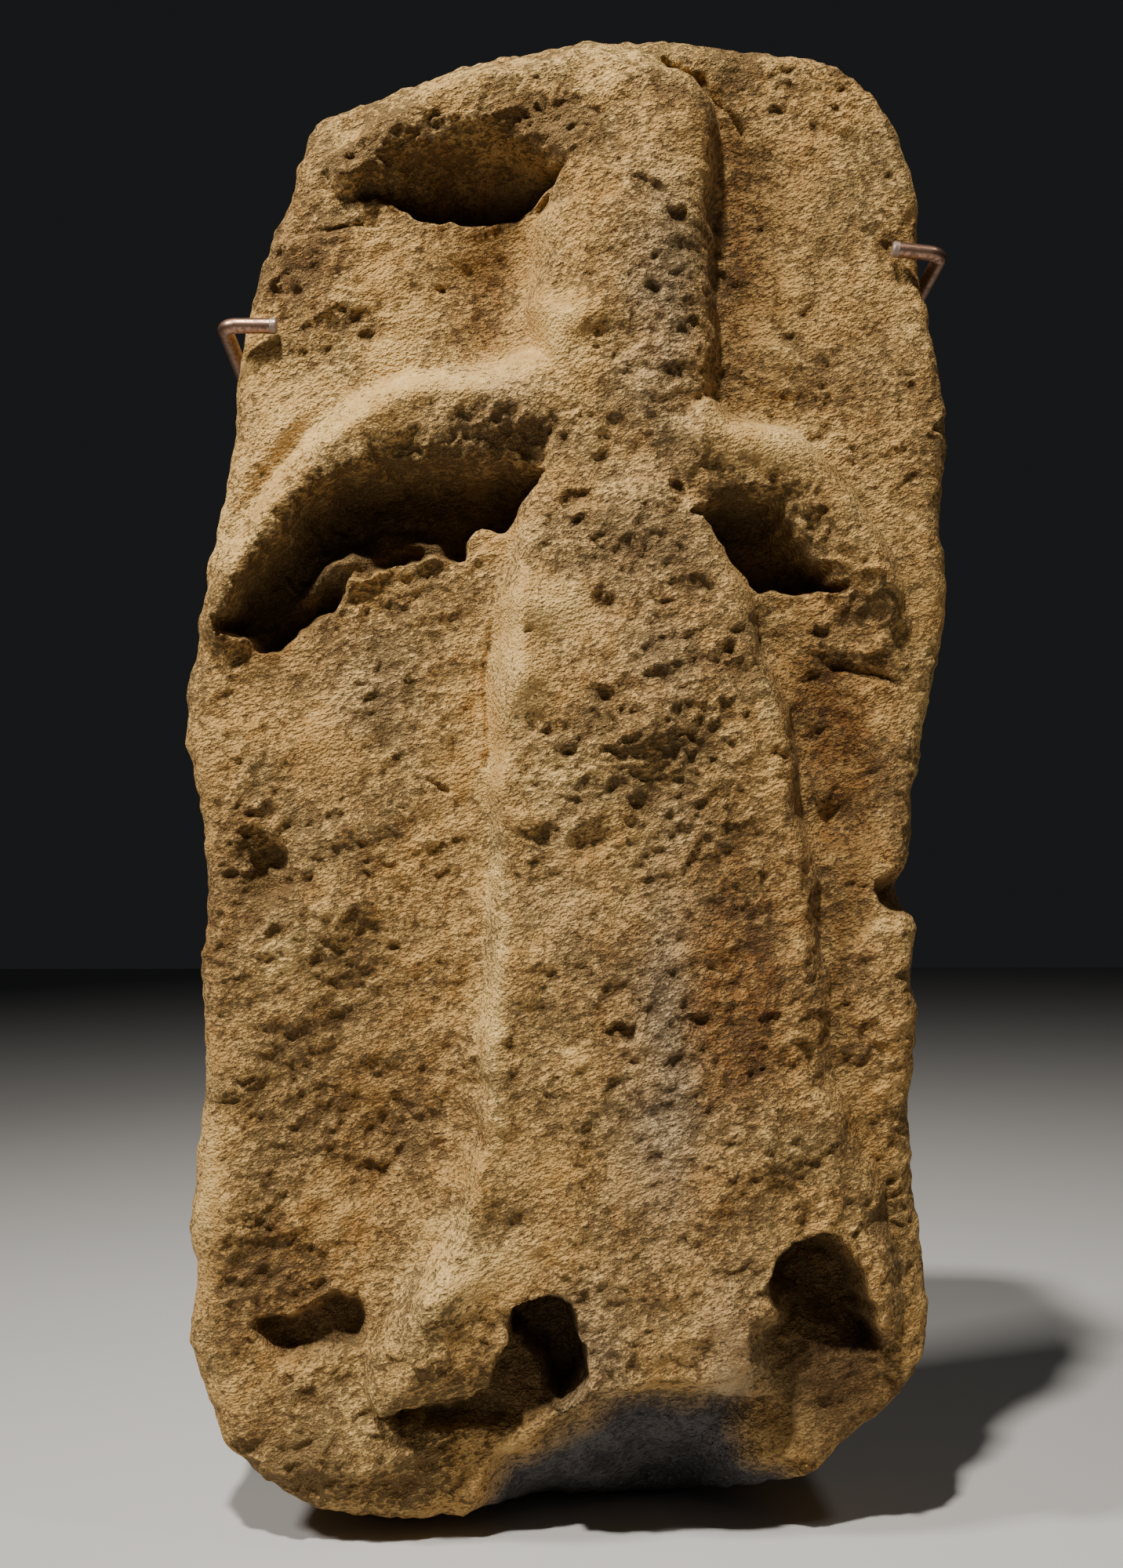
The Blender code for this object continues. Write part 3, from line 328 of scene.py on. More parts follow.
# Where the surface is rougher or smoother than elsewhere: the place, the spread and the amount
rough_places = (
    (0.050, 0.715, 0.100, 0.030, -0.25), (0.400, 0.600, 0.060, 0.030, 0.2),
    (0.100, 0.500, 0.120, 0.080, 0.15), (0.020, 0.660, 0.050, 0.030, -0.1),
    (-0.390, 0.430, 0.050, 0.040, 0.9), (-0.100, 0.100, 0.200, 0.040, 0.5),
    (-0.300, 0.060, 0.120, 0.040, 0.6), (0.140, 0.830, 0.035, 0.060, 0.1),
    (0.250, 0.250, 0.100, 0.060, 0.4), (-0.050, 0.840, 0.030, 0.050, -0.6),
    (0.270, 0.715, 0.070, 0.016, -0.5), (-0.465, 0.220, 0.020, 0.090, -0.6),
    (-0.136, 0.182, 0.060, 0.014, -0.5), (0.200, 0.120, 0.030, 0.040, -0.6),
    (0.460, 0.200, 0.020, 0.080, -0.5), (-0.020, 0.790, 0.030, 0.020, -0.8),
    (-0.220, 0.790, 0.080, 0.020, -0.3), (0.000, 0.600, 0.060, 0.012, -0.8),
    (-0.060, 0.590, 0.030, 0.070, -0.6), (0.000, 0.660, 0.030, 0.012, 0.6),
    (0.140, 0.610, 0.060, 0.040, 0.3), (0.050, 0.544, 0.050, 0.014, 0.6), (0.150, 0.520, 0.060, 0.014, 0.6),
    (0.055, 0.505, 0.050, 0.010, -0.7), (-0.010, 0.520, 0.040, 0.010, 0.5),
    (0.200, 0.380, 0.060, 0.080, 0.3), (-0.300, 0.240, 0.100, 0.080, 0.2),
)
# Strips that are rougher or smoother: rows of the place and the half width, and the amount
rough_lines = (
    (((-0.030, 0.722, 0.03), (-0.130, 0.722, 0.03), (-0.210, 0.708, 0.03), (-0.290, 0.680, 0.03),
      (-0.360, 0.643, 0.03), (-0.430, 0.606, 0.03)), 1.0),
    (((-0.290, 0.905, 0.03), (-0.200, 0.925, 0.03), (-0.100, 0.937, 0.03), (-0.020, 0.925, 0.03)), 0.7),
    (((0.190, 0.680, 0.03), (0.270, 0.674, 0.03), (0.340, 0.645, 0.03), (0.390, 0.610, 0.03)), 0.2),
    (((0.190, 0.735, 0.03), (0.270, 0.718, 0.03), (0.340, 0.692, 0.03), (0.400, 0.650, 0.03)), -0.4),
    (((-0.050, 0.767, 0.04), (-0.200, 0.765, 0.04), (-0.320, 0.732, 0.04), (-0.430, 0.672, 0.04)), -0.35),
    (((-0.090, 0.640, 0.02), (-0.104, 0.440, 0.02), (-0.112, 0.290, 0.02)), -0.2),
)
smoothest, roughest = 0.15, 1.6
broad_stroke_limit = 0.85
crumble_limit = 1.3
lattice_size = 509


def smooth_ring(rows):
    """A closed curve that passes smoothly through rows of numbers, with all columns carried along."""
    rows = np.array(rows)
    before, after, second = np.roll(rows, 1, 0), np.roll(rows, -1, 0), np.roll(rows, -2, 0)
    pieces = []
    for t in np.arange(curve_steps) / curve_steps:
        bend = 0.5 * (
            2 * rows
            + (after - before) * t
            + (2 * before - 5 * rows + 4 * after - second) * t**2
            + (3 * rows - before - 3 * after + second) * t**3
        )
        pieces.append(bend)
    return np.stack(pieces, 1).reshape(-1, rows.shape[1])


def in_metres(ring):
    """Shares of the slab turned into places and widths in metres."""
    return np.stack([ring[:, 0] * slab_width, (ring[:, 1] - 0.5) * slab_height, ring[:, 2] * slab_width], 1)


def nearest_run(x, z, start, end):
    """How far each place is from a straight run, and the run's width nearest to it."""
    run, rise = end[0] - start[0], end[1] - start[1]
    along = np.clip(((x - start[0]) * run + (z - start[1]) * rise) / (run**2 + rise**2 + 1e-12), 0, 1)
    gap = np.hypot(x - start[0] - along * run, z - start[1] - along * rise)
    return gap, start[2] + along * (end[2] - start[2])


def inside_ratio(x, z, rows, most=1):
    """0 outside an outline, 1 where the sloping edge inside it ends, and on from there up to the most."""
    ring = in_metres(smooth_ring(rows))
    low, high = ring[:, :2].min(0), ring[:, :2].max(0)
    near = (x > low[0]) & (x < high[0]) & (z > low[1]) & (z < high[1])
    near_x, near_z = x[near], z[near]
    nearest = np.full(near_x.shape, np.inf)
    inside = np.zeros(near_x.shape, bool)
    for start, end in zip(ring, np.roll(ring, -1, 0)):
        gap, width = nearest_run(near_x, near_z, start, end)
        nearest = np.minimum(nearest, gap / width)
        if start[1] != end[1]:
            crosses = (start[1] > near_z) != (end[1] > near_z)
            meets = start[0] + (near_z - start[1]) * (end[0] - start[0]) / (end[1] - start[1])
            inside ^= crosses & (near_x < meets)
    ratio = np.zeros(x.shape)
    ratio[near] = np.where(inside, np.minimum(nearest, most), 0)
    return ratio


def line_share(x, z, rows):
    """1 on a line, falling off softly to 0 on both sides of it."""
    line = in_metres(np.array(rows))
    share = np.zeros(x.shape)
    for start, end in zip(line[:-1], line[1:]):
        gap, width = nearest_run(x, z, start, end)
        share = np.maximum(share, np.exp(-((gap / width) ** 2)))
    return share


def eased(value, rows):
    """The number that rows of pairs give for a value, passing from row to row without a crease."""
    places, numbers = np.array(rows).T
    step = np.interp(value, places, np.arange(len(places)))
    part = step - np.floor(step)
    return np.interp(np.floor(step) + part**2 * (3 - 2 * part), np.arange(len(places)), numbers)


def smooth_max(first, second, blend):
    """The higher of two surfaces, filled a little where two raised ones meet."""
    near = np.clip(1 - np.abs(first - second) / blend, 0, 1)
    both_raised = np.clip(np.minimum(first, second) / blend, 0, 1)
    return np.maximum(first, second) + near**2 * both_raised * blend / 4


def grain(x, z, size, seed, stretch=1.0, turn=None):
    """Soft random swells from -1 to 1, about one size across, drawn out along a turned direction."""
    choice = np.random.default_rng(seed)
    lattice = choice.uniform(-1, 1, (lattice_size, lattice_size))
    angle = choice.uniform(0, math.pi) if turn is None else math.radians(turn)
    along = (x * math.cos(angle) + z * math.sin(angle)) / (size * stretch) + choice.uniform(0, 99)
    aside = (z * math.cos(angle) - x * math.sin(angle)) / size + choice.uniform(0, 99)
    column, row = np.floor(along).astype(int), np.floor(aside).astype(int)
    part_along, part_aside = along - column, aside - row
    ease_along = part_along**2 * (3 - 2 * part_along)
    ease_aside = part_aside**2 * (3 - 2 * part_aside)
    near_row, far_row = row % lattice_size, (row + 1) % lattice_size
    column, next_column = column % lattice_size, (column + 1) % lattice_size
    near_edge = lattice[column, near_row]
    near_edge = near_edge + (lattice[next_column, near_row] - near_edge) * ease_along
    far_edge = lattice[column, far_row]
    far_edge = far_edge + (lattice[next_column, far_row] - far_edge) * ease_along
    return near_edge + (far_edge - near_edge) * ease_aside


def soft_spots(x, z, rows):
    """Soft round spots added up: rows of the place, the spread across and up, and the amount."""
    across, up = x / slab_width, z / slab_height + 0.5
    total = np.zeros(x.shape)
    for middle, level, spread_across, spread_up, amount in rows:
        reach = ((across - middle) / spread_across) ** 2 + ((up - level) / spread_up) ** 2
        total = total + amount * np.exp(-reach)
    return total


def random_shift(x, z, broad, fine, seed):
    """A broad and a fine random shift across and up, each given by its height and its size in metres."""
    return [
        broad[0] * grain(x, z, broad[1], seed + way) + fine[0] * grain(x, z, fine[1], seed + way + 1)
        for way in (0, 2)
    ]


def front_form(x, z):
    """How far the carved front stands out before any weathering, and how far each place is hollowed."""
    up = z / slab_height + 0.5
    shift_x, shift_z = random_shift(x, z, (0.0032, 0.045), (0.0018, 0.018), 41)
    wander_x, wander_z = x + shift_x, z + shift_z
    raised = np.zeros(x.shape)
    for rows, heights in raised_forms:
        ratio = inside_ratio(wander_x, wander_z, rows, dome_reach)
        edge = np.sin(np.minimum(ratio, 1) * math.pi / 2)
        dome = np.sin(ratio / dome_reach * math.pi / 2)
        height = eased(up, heights) * relief * ((1 - dome_share) * edge + dome_share * dome)
        raised = smooth_max(raised, height, form_blend)
    surface = slab_thickness + raised + relief * soft_spots(x, z, swells)
    hollowed = np.zeros(x.shape)
    shift_x, shift_z = random_shift(x, z, (0.0026, 0.016), (0.0016, 0.0065), 46)
    frayed_x, frayed_z = x + shift_x, z + shift_z
    for rows, floor, roundness in hollows:
        ratio = inside_ratio(frayed_x, frayed_z, rows)
        cut = (1 - roundness) * np.sin(ratio * math.pi / 2) + roundness * (1 - np.cos(ratio * math.pi)) / 2
        surface = surface + cut * (slab_thickness + floor * relief - surface)
        if floor < 0:
            hollowed = np.maximum(hollowed, cut)
    uneven = 1 + 0.9 * grain(x, z, 0.028, 45)
    for rows, height in crests:
        surface = surface + height * relief * uneven * line_share(wander_x, wander_z, rows)
    underside = inside_ratio(x, z, broken_underside)
    surface = surface + underside * (foot_thickness - surface)
    outline = bottom_edge[:-1] + right_edge[:-1] + top_edge[:0:-1] + left_edge[:0:-1]
    worn = 1 - inside_ratio(x, z, outline)
    surface = surface - rim_drop * (1 - np.sqrt(np.maximum(1 - worn**2, 0)))
    return surface, hollowed, underside


def roughness_share(x, z):
    """How rough the worn surface is from place to place, from the smoothest to the roughest."""
    rough = 0.88 + 0.30 * grain(x, z, 0.05, 11) + soft_spots(x, z, rough_places)
    for rows, amount in rough_lines:
        rough = rough + amount * line_share(x, z, rows)
    return np.clip(rough, smoothest, roughest)


def broad_waves(x, z):
    """The slow rise and fall of the worn surface, in metres."""
    return 0.0018 * grain(x, z, 0.055, 1) + 0.0016 * grain(x, z, 0.026, 2)


def tool_strokes(x, z, coarse, seed, turns):
    """Strokes of three sizes, drawn out along their turns, and deeper where the skin is coarse."""
    broad = 0.0017 * grain(x, z, 0.0135, seed, 1.5, turns[0])
    middling = 0.0012 * grain(x, z, 0.0078, seed + 1, 1.6, turns[1])
    fine = 0.0010 * grain(x, z, 0.0048, seed + 2, 1.5, turns[2])
    return np.minimum(coarse, broad_stroke_limit) * broad + coarse * (middling + fine)


def weathering(x, z):
    """The worn skin laid over the form: tool strokes, pores and single chips, in metres."""
    across, up = x / slab_width, z / slab_height + 0.5
    coarse = roughness_share(x, z) ** 1.3
    rising = tool_strokes(x, z, coarse, 3, (25, 32, 25))
    falling = tool_strokes(x, z, coarse, 16, (-25, -35, -25))
    upper_right = np.clip(2.2 * across + 3 * (up - 0.66), 0, 1)
    skin = rising + upper_right * (falling - rising)
    skin = skin - coarse * 0.0012 * np.abs(grain(x, z, 0.0090, 6, 1.3, -15))
    skin = skin + coarse * 0.0011 * grain(x, z, 0.0034, 7)
    broken = 0.55 * grain(x, z, 0.0110, 8, 1.5, 25) + 0.45 * grain(x, z, 0.0055, 9, 1.3, 10)
    broken = broken + 0.3 * grain(x, z, 0.0034, 10)
    skin = skin - coarse * 0.0040 * np.clip(broken - 0.36, 0, 0.35)
    shift_x, shift_z = random_shift(x, z, (0.0026, 0.0070), (0.0016, 0.0036), 12)
    for middle, level, half_length, half_width, depth, turn in chips:
        from_x = x + shift_x - middle * slab_width
        from_z = z + shift_z - (level - 0.5) * slab_height
        angle = math.radians(turn)
        along = (from_x * math.cos(angle) + from_z * math.sin(angle)) / (half_length / 1000)
        aside = (from_z * math.cos(angle) - from_x * math.sin(angle)) / (half_width / 1000)
        bowl = np.clip(1.2 - along**2 - aside**2, 0, 1)
        skin = skin - 0.7 * depth / 1000 * bowl
    return skin


def crumbled(x, z):
    """How far each place is shifted in the slab's plane, which frays outlines and the lips of hollows."""
    rough = np.minimum(roughness_share(x, z), crumble_limit)
    shift_x, shift_z = random_shift(x, z, (0.0015, 0.015), (0.0011, 0.006), 21)
    return rough * shift_x, rough * shift_z


def shares_with_rims(count, length):
    """Shares from 0 to 1 for a row of places, crowded where the slab's worn rim turns down."""
    strip = rim_strip / length
    rim = strip * np.linspace(0, 1, rim_places, endpoint=False) ** rim_crowding
    return np.concatenate([rim, np.linspace(strip, 1 - strip, count - 2 * rim_places), 1 - rim[::-1]])


def points_along(rows, shares):
    """Places along an open edge, in metres, at shares of its length."""
    rows = np.array(rows)
    padded = np.vstack([2 * rows[0] - rows[1], rows, 2 * rows[-1] - rows[-2]])
    curve = in_metres(smooth_ring(padded)[curve_steps: -2 * curve_steps + 1])[:, :2]
    length = np.concatenate([[0], np.cumsum(np.hypot(*np.diff(curve, axis=0).T))])
    stops = shares * length[-1]
    return np.stack([np.interp(stops, length, curve[:, 0]), np.interp(stops, length, curve[:, 1])], 1)


across = shares_with_rims(front_columns, slab_width)
up = shares_with_rims(front_rows, slab_height)
left, right = points_along(left_edge, up)[:, None], points_along(right_edge, up)[:, None]
bottom, top = points_along(bottom_edge, across)[None], points_along(top_edge, across)[None]
across, up = across[None, :, None], up[:, None, None]
corners = (
    (1 - up) * ((1 - across) * bottom[:, :1] + across * bottom[:, -1:])
    + up * ((1 - across) * top[:, :1] + across * top[:, -1:])
)
places = (1 - across) * left + across * right + (1 - up) * bottom + up * top - corners
x, z = places.reshape(-1, 2).T
shift_x, shift_z = crumbled(x, z)
depth = front_form(x, z)[0] + broad_waves(x, z) + weathering(x, z)

bpy.ops.object.select_all(action="DESELECT")
bpy.ops.mesh.primitive_grid_add(x_subdivisions=front_columns - 1, y_subdivisions=front_rows - 1, size=1)
stone = bpy.context.object
stone.name = "weathered_stone_relief"
stone.data.name = stone.name
stone.data.vertices.foreach_set("co", np.stack([x + shift_x, -depth, z + shift_z], 1).ravel())
stone.data.update()

# The rim is drawn back in rings and flattened step by step onto the plane where the back turns in
bpy.ops.object.mode_set(mode="EDIT")
bpy.ops.mesh.select_mode(type="VERT")
bpy.ops.mesh.select_all(action="DESELECT")
bpy.ops.mesh.select_non_manifold()
turn_plane = (0, -back_rounding, 0)
for ring in range(1, side_rings + 1):
    kept = (side_rings - ring) / (side_rings - ring + 1)
    bpy.ops.mesh.extrude_edges_move()
    bpy.ops.transform.resize(value=(1, kept, 1), center_override=turn_plane)
narrowing = 0
for ring in range(1, back_rings + 1):
    angle = ring / back_rings * math.pi / 2
    drawn_in = back_rounding * (1 - math.cos(angle))
    step_back = back_rounding * (math.sin(angle) - math.sin(angle - math.pi / 2 / back_rings))
    narrower = 1 - 2 * (drawn_in - narrowing) / slab_width
    shorter = 1 - 2 * (drawn_in - narrowing) / slab_height
    bpy.ops.mesh.extrude_edges_move(TRANSFORM_OT_translate={"value": (0, step_back, 0)})
    bpy.ops.transform.resize(value=(narrower, 1, shorter), center_override=(0, 0, 0))
    narrowing = drawn_in
bpy.ops.mesh.edge_face_add()
bpy.ops.mesh.select_all(action="SELECT")
bpy.ops.mesh.normals_make_consistent(inside=False)
bpy.ops.object.mode_set(mode="OBJECT")


def mesh_places(piece):
    """The places of a piece's vertices, in rows of three."""
    places = np.empty(len(piece.data.vertices) * 3)
    piece.data.vertices.foreach_get("co", places)
    return places.reshape(-1, 3)


# The broken sides: dressed back unevenly between the front rim and the back
rough_side_depth = 0.1
places = mesh_places(stone)
sides = places[front_columns * front_rows:]
around = sides[:, 0] + sides[:, 2]
between = np.clip(np.sin(np.clip(-sides[:, 1] / rough_side_depth, 0, 1) * math.pi), 0, 1)
sunk = 0.0014 * (1 + grain(around, sides[:, 1], 0.045, 31))
sunk = sunk + 0.0009 * (1 + grain(around, sides[:, 1], 0.016, 32))
sunk = sunk + 0.0008 * (1 + grain(around, sides[:, 1], 0.006, 33))
sunk = (sunk - side_bulge) * between
sides[:, 0] *= 1 - 2 * sunk / slab_width
sides[:, 2] *= 1 - 2 * sunk / slab_height
stone.data.vertices.foreach_set("co", places.ravel())
stone.data.update()

grid_triangles = 2 * (front_columns - 1) * (front_rows - 1)
side_triangles = 4 * (side_rings + back_rings) * (front_columns + front_rows)
faces = stone.modifiers.new("thinned", "DECIMATE")
faces.ratio = slab_triangles / (grid_triangles + side_triangles)
bpy.ops.object.modifier_apply(modifier=faces.name)
bpy.ops.object.shade_smooth()

# What the weather and hands left on the stone, with painted light laid in: painted shade in the hollows and
# pores, ochre and rust stains that also lay painted shade in the hollows, under the arms and beside the
# neck, a grey bloom, and paler worn places that also lay painted highlight along the upper edges of the
# forms. The rows hold the place, the spread and the amount.
stain_and_shade_places = (
    (0.340, 0.540, 0.070, 0.070, 0.9), (0.210, 0.370, 0.080, 0.090, 1.0), (0.205, 0.345, 0.060, 0.060, 0.6),
    (0.215, 0.850, 0.035, 0.120, 0.9), (0.370, 0.400, 0.060, 0.120, 0.7),
    (-0.460, 0.400, 0.040, 0.100, 0.5), (-0.260, 0.300, 0.110, 0.100, 0.5),
    (0.150, 0.200, 0.120, 0.050, 0.4), (0.360, 0.110, 0.060, 0.050, 0.8),
    (-0.160, 0.890, 0.090, 0.020, 0.8), (-0.200, 0.680, 0.120, 0.014, 0.7),
    (-0.380, 0.580, 0.060, 0.030, 0.5), (-0.110, 0.830, 0.050, 0.050, 0.7),
    (-0.350, 0.840, 0.060, 0.060, 0.6), (-0.080, 0.480, 0.020, 0.100, 0.3),
    (0.380, 0.740, 0.080, 0.060, 0.3), (-0.380, 0.160, 0.080, 0.050, 0.6),
    (0.050, 0.350, 0.050, 0.050, 0.4), (0.290, 0.900, 0.080, 0.060, 0.3),
)
grey_places = (
    (0.136, 0.480, 0.030, 0.080, 0.2), (0.116, 0.370, 0.030, 0.060, 0.4), (0.060, 0.650, 0.120, 0.050, 0.2),
    (0.110, 0.800, 0.050, 0.080, 0.6), (0.124, 0.270, 0.040, 0.050, 0.4), (0.200, 0.120, 0.040, 0.050, 0.7),
    (0.010, 0.120, 0.060, 0.040, 0.6), (0.100, 0.580, 0.080, 0.050, 0.2),
    (-0.100, 0.730, 0.060, 0.030, 0.3), (0.100, 0.280, 0.050, 0.080, 0.4),
    (-0.260, 0.560, 0.060, 0.040, 0.2), (0.000, 0.420, 0.050, 0.050, 0.2),
)
# Pale worn places, which also lay painted highlight along the upper edges of the arms and the top of the
# slab
pale_and_highlight_places = (
    (-0.160, 0.764, 0.110, 0.018, 0.7), (-0.330, 0.722, 0.070, 0.024, 0.7),
    (-0.430, 0.650, 0.040, 0.040, 0.8), (-0.028, 0.606, 0.050, 0.018, 0.9),
    (-0.080, 0.560, 0.020, 0.040, 0.9), (-0.010, 0.495, 0.060, 0.024, 0.8),
    (-0.095, 0.430, 0.018, 0.060, 0.8), (-0.100, 0.330, 0.020, 0.060, 0.9),
    (-0.140, 0.196, 0.040, 0.030, 1.0), (-0.190, 0.160, 0.040, 0.026, 1.0),
    (-0.350, 0.390, 0.060, 0.026, 0.8), (0.280, 0.718, 0.080, 0.018, 1.0),
    (0.380, 0.665, 0.040, 0.030, 0.6), (0.000, 0.975, 0.300, 0.020, 0.7),
    (-0.280, 0.090, 0.100, 0.040, 0.5), (0.412, 0.397, 0.030, 0.016, 0.9),
    (-0.020, 0.792, 0.030, 0.018, 0.9), (-0.470, 0.230, 0.020, 0.060, 0.7),
    (0.270, 0.262, 0.060, 0.022, 0.7), (0.250, 0.540, 0.014, 0.060, 0.6), (0.460, 0.500, 0.020, 0.080, 0.5),
    (-0.300, 0.780, 0.100, 0.016, 0.5), (0.400, 0.900, 0.050, 0.040, 0.4),
)


def painted(x, z, rows):
    """How strongly a mark shows at each place, from 0 to 1."""
    return np.clip(soft_spots(x, z, rows), 0, 1)


# The marks are stored on the mesh, and the material reads them. The hollow, pores and underside marks lay
# painted shade, the stain marks lay rust stains and painted shade, and the pale marks lay paler worn stone
# and painted highlight.
pore_start, pore_full = 0.0008, 0.0040
x, y, z = mesh_places(stone).T
shift_x, shift_z = crumbled(x, z)
x, z = x - shift_x, z - shift_z
form, hollowed, underside = front_form(x, z)
on_front = np.clip((-y - 0.6 * form) / (0.2 * form), 0, 1)
sunken = np.clip((-weathering(x, z) - pore_start) / (pore_full - pore_start), 0, 1)
marks = {
    "pores": sunken * on_front,
    "rough": (roughness_share(x, z) - smoothest) / (roughest - smoothest),
    "hollow": np.clip(hollowed, 0, 1) * on_front,
    "stain_and_shade": painted(x, z, stain_and_shade_places),
    "grey": painted(x, z, grey_places),
    "underside": underside * on_front,
    "pale_and_highlight": painted(x, z, pale_and_highlight_places) * (1 - sunken) * on_front,
}
for name, amount in marks.items():
    layer = stone.data.attributes.new(name, "FLOAT", "POINT")
    layer.data.foreach_set("value", amount.astype(np.float32))

ochre = (0.39, 0.204, 0.052, 1)
tan = (0.49, 0.298, 0.100, 1)
cream = (0.77, 0.535, 0.205, 1)
# Rust brown, also used as painted shade in the hollows and beside the neck
rust_and_shade_brown = (0.160, 0.066, 0.014, 1)
bloom = (0.38, 0.310, 0.210, 1)
# Painted shade that darkens the hollows, pits and pores
recess_shade = (0.055, 0.031, 0.014, 1)
# Painted shade for the broken underside, which faces down
underside_shade = (0.085, 0.084, 0.088, 1)
speckle = (0.55, 0.50, 0.44, 1)
untouched = (1, 1, 1, 1)
stone_bump_depth = 0.001


class Shading:
    """A material's node tree, with one call for each kind of node that the piece needs."""

    def __init__(self, name, roughness):
        self.material = bpy.data.materials.new(name)
        self.material.use_nodes = True
        self.tree = self.material.node_tree
        self.surface = self.tree.nodes["Principled BSDF"]
        self.surface.inputs["Roughness"].default_value = roughness
        self.place = self.tree.nodes.new("ShaderNodeTexCoord").outputs["Object"]

    def join(self, output, socket):
        """Wire an output to a socket, or set the socket's own value."""
        if isinstance(output, bpy.types.NodeSocket):
            self.tree.links.new(output, socket)
        else:
            socket.default_value = output

    def mark(self, name):
        """One of the marks stored on the mesh."""
        found = self.tree.nodes.new("ShaderNodeAttribute")
        found.attribute_name = name
        return found.outputs["Fac"]

    def turned(self, sizes, degrees):
        """Coordinates for a pattern drawn out along a direction turned up from level."""
        mapping = self.tree.nodes.new("ShaderNodeMapping")
        mapping.vector_type = "TEXTURE"
        mapping.inputs["Rotation"].default_value = (0, -math.radians(degrees), 0)
        mapping.inputs["Scale"].default_value = sizes
        self.join(self.place, mapping.inputs["Vector"])
        return mapping.outputs["Vector"]

    def noise(self, scale, detail=3.0, roughness=0.55, place=None):
        """A soft noise from 0 to 1."""
        texture = self.tree.nodes.new("ShaderNodeTexNoise")
        texture.inputs["Scale"].default_value = scale
        texture.inputs["Detail"].default_value = detail
        texture.inputs["Roughness"].default_value = roughness
        self.join(place or self.place, texture.inputs["Vector"])
        return texture.outputs["Fac"]

    def ramp(self, value, low, high, first=0.0, second=1.0):
        """A value stretched from one range to another and held at its ends."""
        stretch = self.tree.nodes.new("ShaderNodeMapRange")
        self.join(value, stretch.inputs["Value"])
        for socket, number in zip(("From Min", "From Max", "To Min", "To Max"), (low, high, first, second)):
            stretch.inputs[socket].default_value = number
        return stretch.outputs["Result"]

    def maths(self, kind, first, second):
        """Arithmetic on two values."""
        node = self.tree.nodes.new("ShaderNodeMath")
        node.operation = kind
        self.join(first, node.inputs[0])
        self.join(second, node.inputs[1])
        return node.outputs["Value"]

    def mix(self, share, first, second, kind="MIX"):
        """Two colours mixed by a share."""
        node = self.tree.nodes.new("ShaderNodeMix")
        node.data_type = "RGBA"
        node.blend_type = kind
        self.join(share, node.inputs["Factor"])
        self.join(first, node.inputs["A"])
        self.join(second, node.inputs["B"])
        return node.outputs["Result"]

    def bump(self, height, distance):
        """Small relief that is shaded but not modelled."""
        node = self.tree.nodes.new("ShaderNodeBump")
        node.inputs["Distance"].default_value = distance
        self.join(height, node.inputs["Height"])
        self.join(node.outputs["Normal"], self.surface.inputs["Normal"])


limestone = Shading("limestone_weathered", 0.94)
limestone.surface.inputs["Specular IOR Level"].default_value = 0.25
cloudy = limestone.ramp(limestone.noise(28, 4), 0.35, 0.65)
mottled = limestone.ramp(limestone.noise(110, 4, 0.65), 0.35, 0.65)
speckled = limestone.ramp(limestone.noise(700, 3, 0.7), 0.35, 0.65)
veined = limestone.maths("MULTIPLY", mottled, 0.35)
# Paler worn stone, with painted highlight on the upper edges of the forms
pale_and_highlight = limestone.maths("MULTIPLY", limestone.mark("pale_and_highlight"), limestone.ramp(mottled, 0, 1, 0.45, 0.9))
# Rust stains, and painted shade in the hollows, under the arms and beside the neck
rust_and_shade = limestone.maths("MULTIPLY", limestone.mark("stain_and_shade"), limestone.ramp(mottled, 0, 1, 1.0, 0.55))
greyed = limestone.maths("MULTIPLY", limestone.mark("grey"), limestone.ramp(cloudy, 0, 1, 0.5, 0.9))
colour = limestone.mix(cloudy, ochre, tan)
for share, tone in ((veined, cream), (pale_and_highlight, cream), (rust_and_shade, rust_and_shade_brown), (greyed, bloom)):
    colour = limestone.mix(share, colour, tone)
colour = limestone.mix(0.5, colour, limestone.mix(speckled, speckle, untouched), "MULTIPLY")

# Pits and pores: two drawn-out noises, which open wider in clusters and where the stone is rough or sunk
clusters = limestone.ramp(limestone.noise(30, 2, 0.5), 0.3, 0.7, -0.085, 0.085)
drive = limestone.maths("ADD", clusters, limestone.ramp(limestone.mark("rough"), 0, 1, -0.105, 0.10))
drive = limestone.maths("ADD", drive, limestone.ramp(limestone.mark("pores"), 0, 1, 0, 0.10))
pits = limestone.noise(1, 3, 0.62, limestone.turned((0.0046, 0.0034, 0.0027), 25))
pits = limestone.ramp(limestone.maths("ADD", pits, drive), 0.53, 0.63)
pores = limestone.noise(1, 2, 0.6, limestone.turned((0.0020, 0.0016, 0.0013), 20))
pores = limestone.ramp(limestone.maths("ADD", pores, drive), 0.54, 0.66)

# Painted shade: the hollows, pits and pores are darkened towards a near black brown, and the broken
# underside is darkened to a painted blue grey shade
broken_up = limestone.ramp(limestone.noise(230, 3, 0.6), 0.42, 0.56, 0.05, 0.5)
painted_recess_shade = limestone.maths("MULTIPLY", limestone.mark("pores"), broken_up)
for darkness, most in ((limestone.mark("hollow"), 0.70), (pits, 0.66), (pores, 0.34)):
    painted_recess_shade = limestone.maths("MAXIMUM", painted_recess_shade, limestone.ramp(darkness, 0, 1, 0, most))
colour = limestone.mix(painted_recess_shade, colour, recess_shade)
# The broken underside is darkened with painted shade
colour = limestone.mix(limestone.ramp(limestone.mark("underside"), 0.05, 0.4, 0, 0.95), colour, underside_shade)
limestone.join(colour, limestone.surface.inputs["Base Color"])

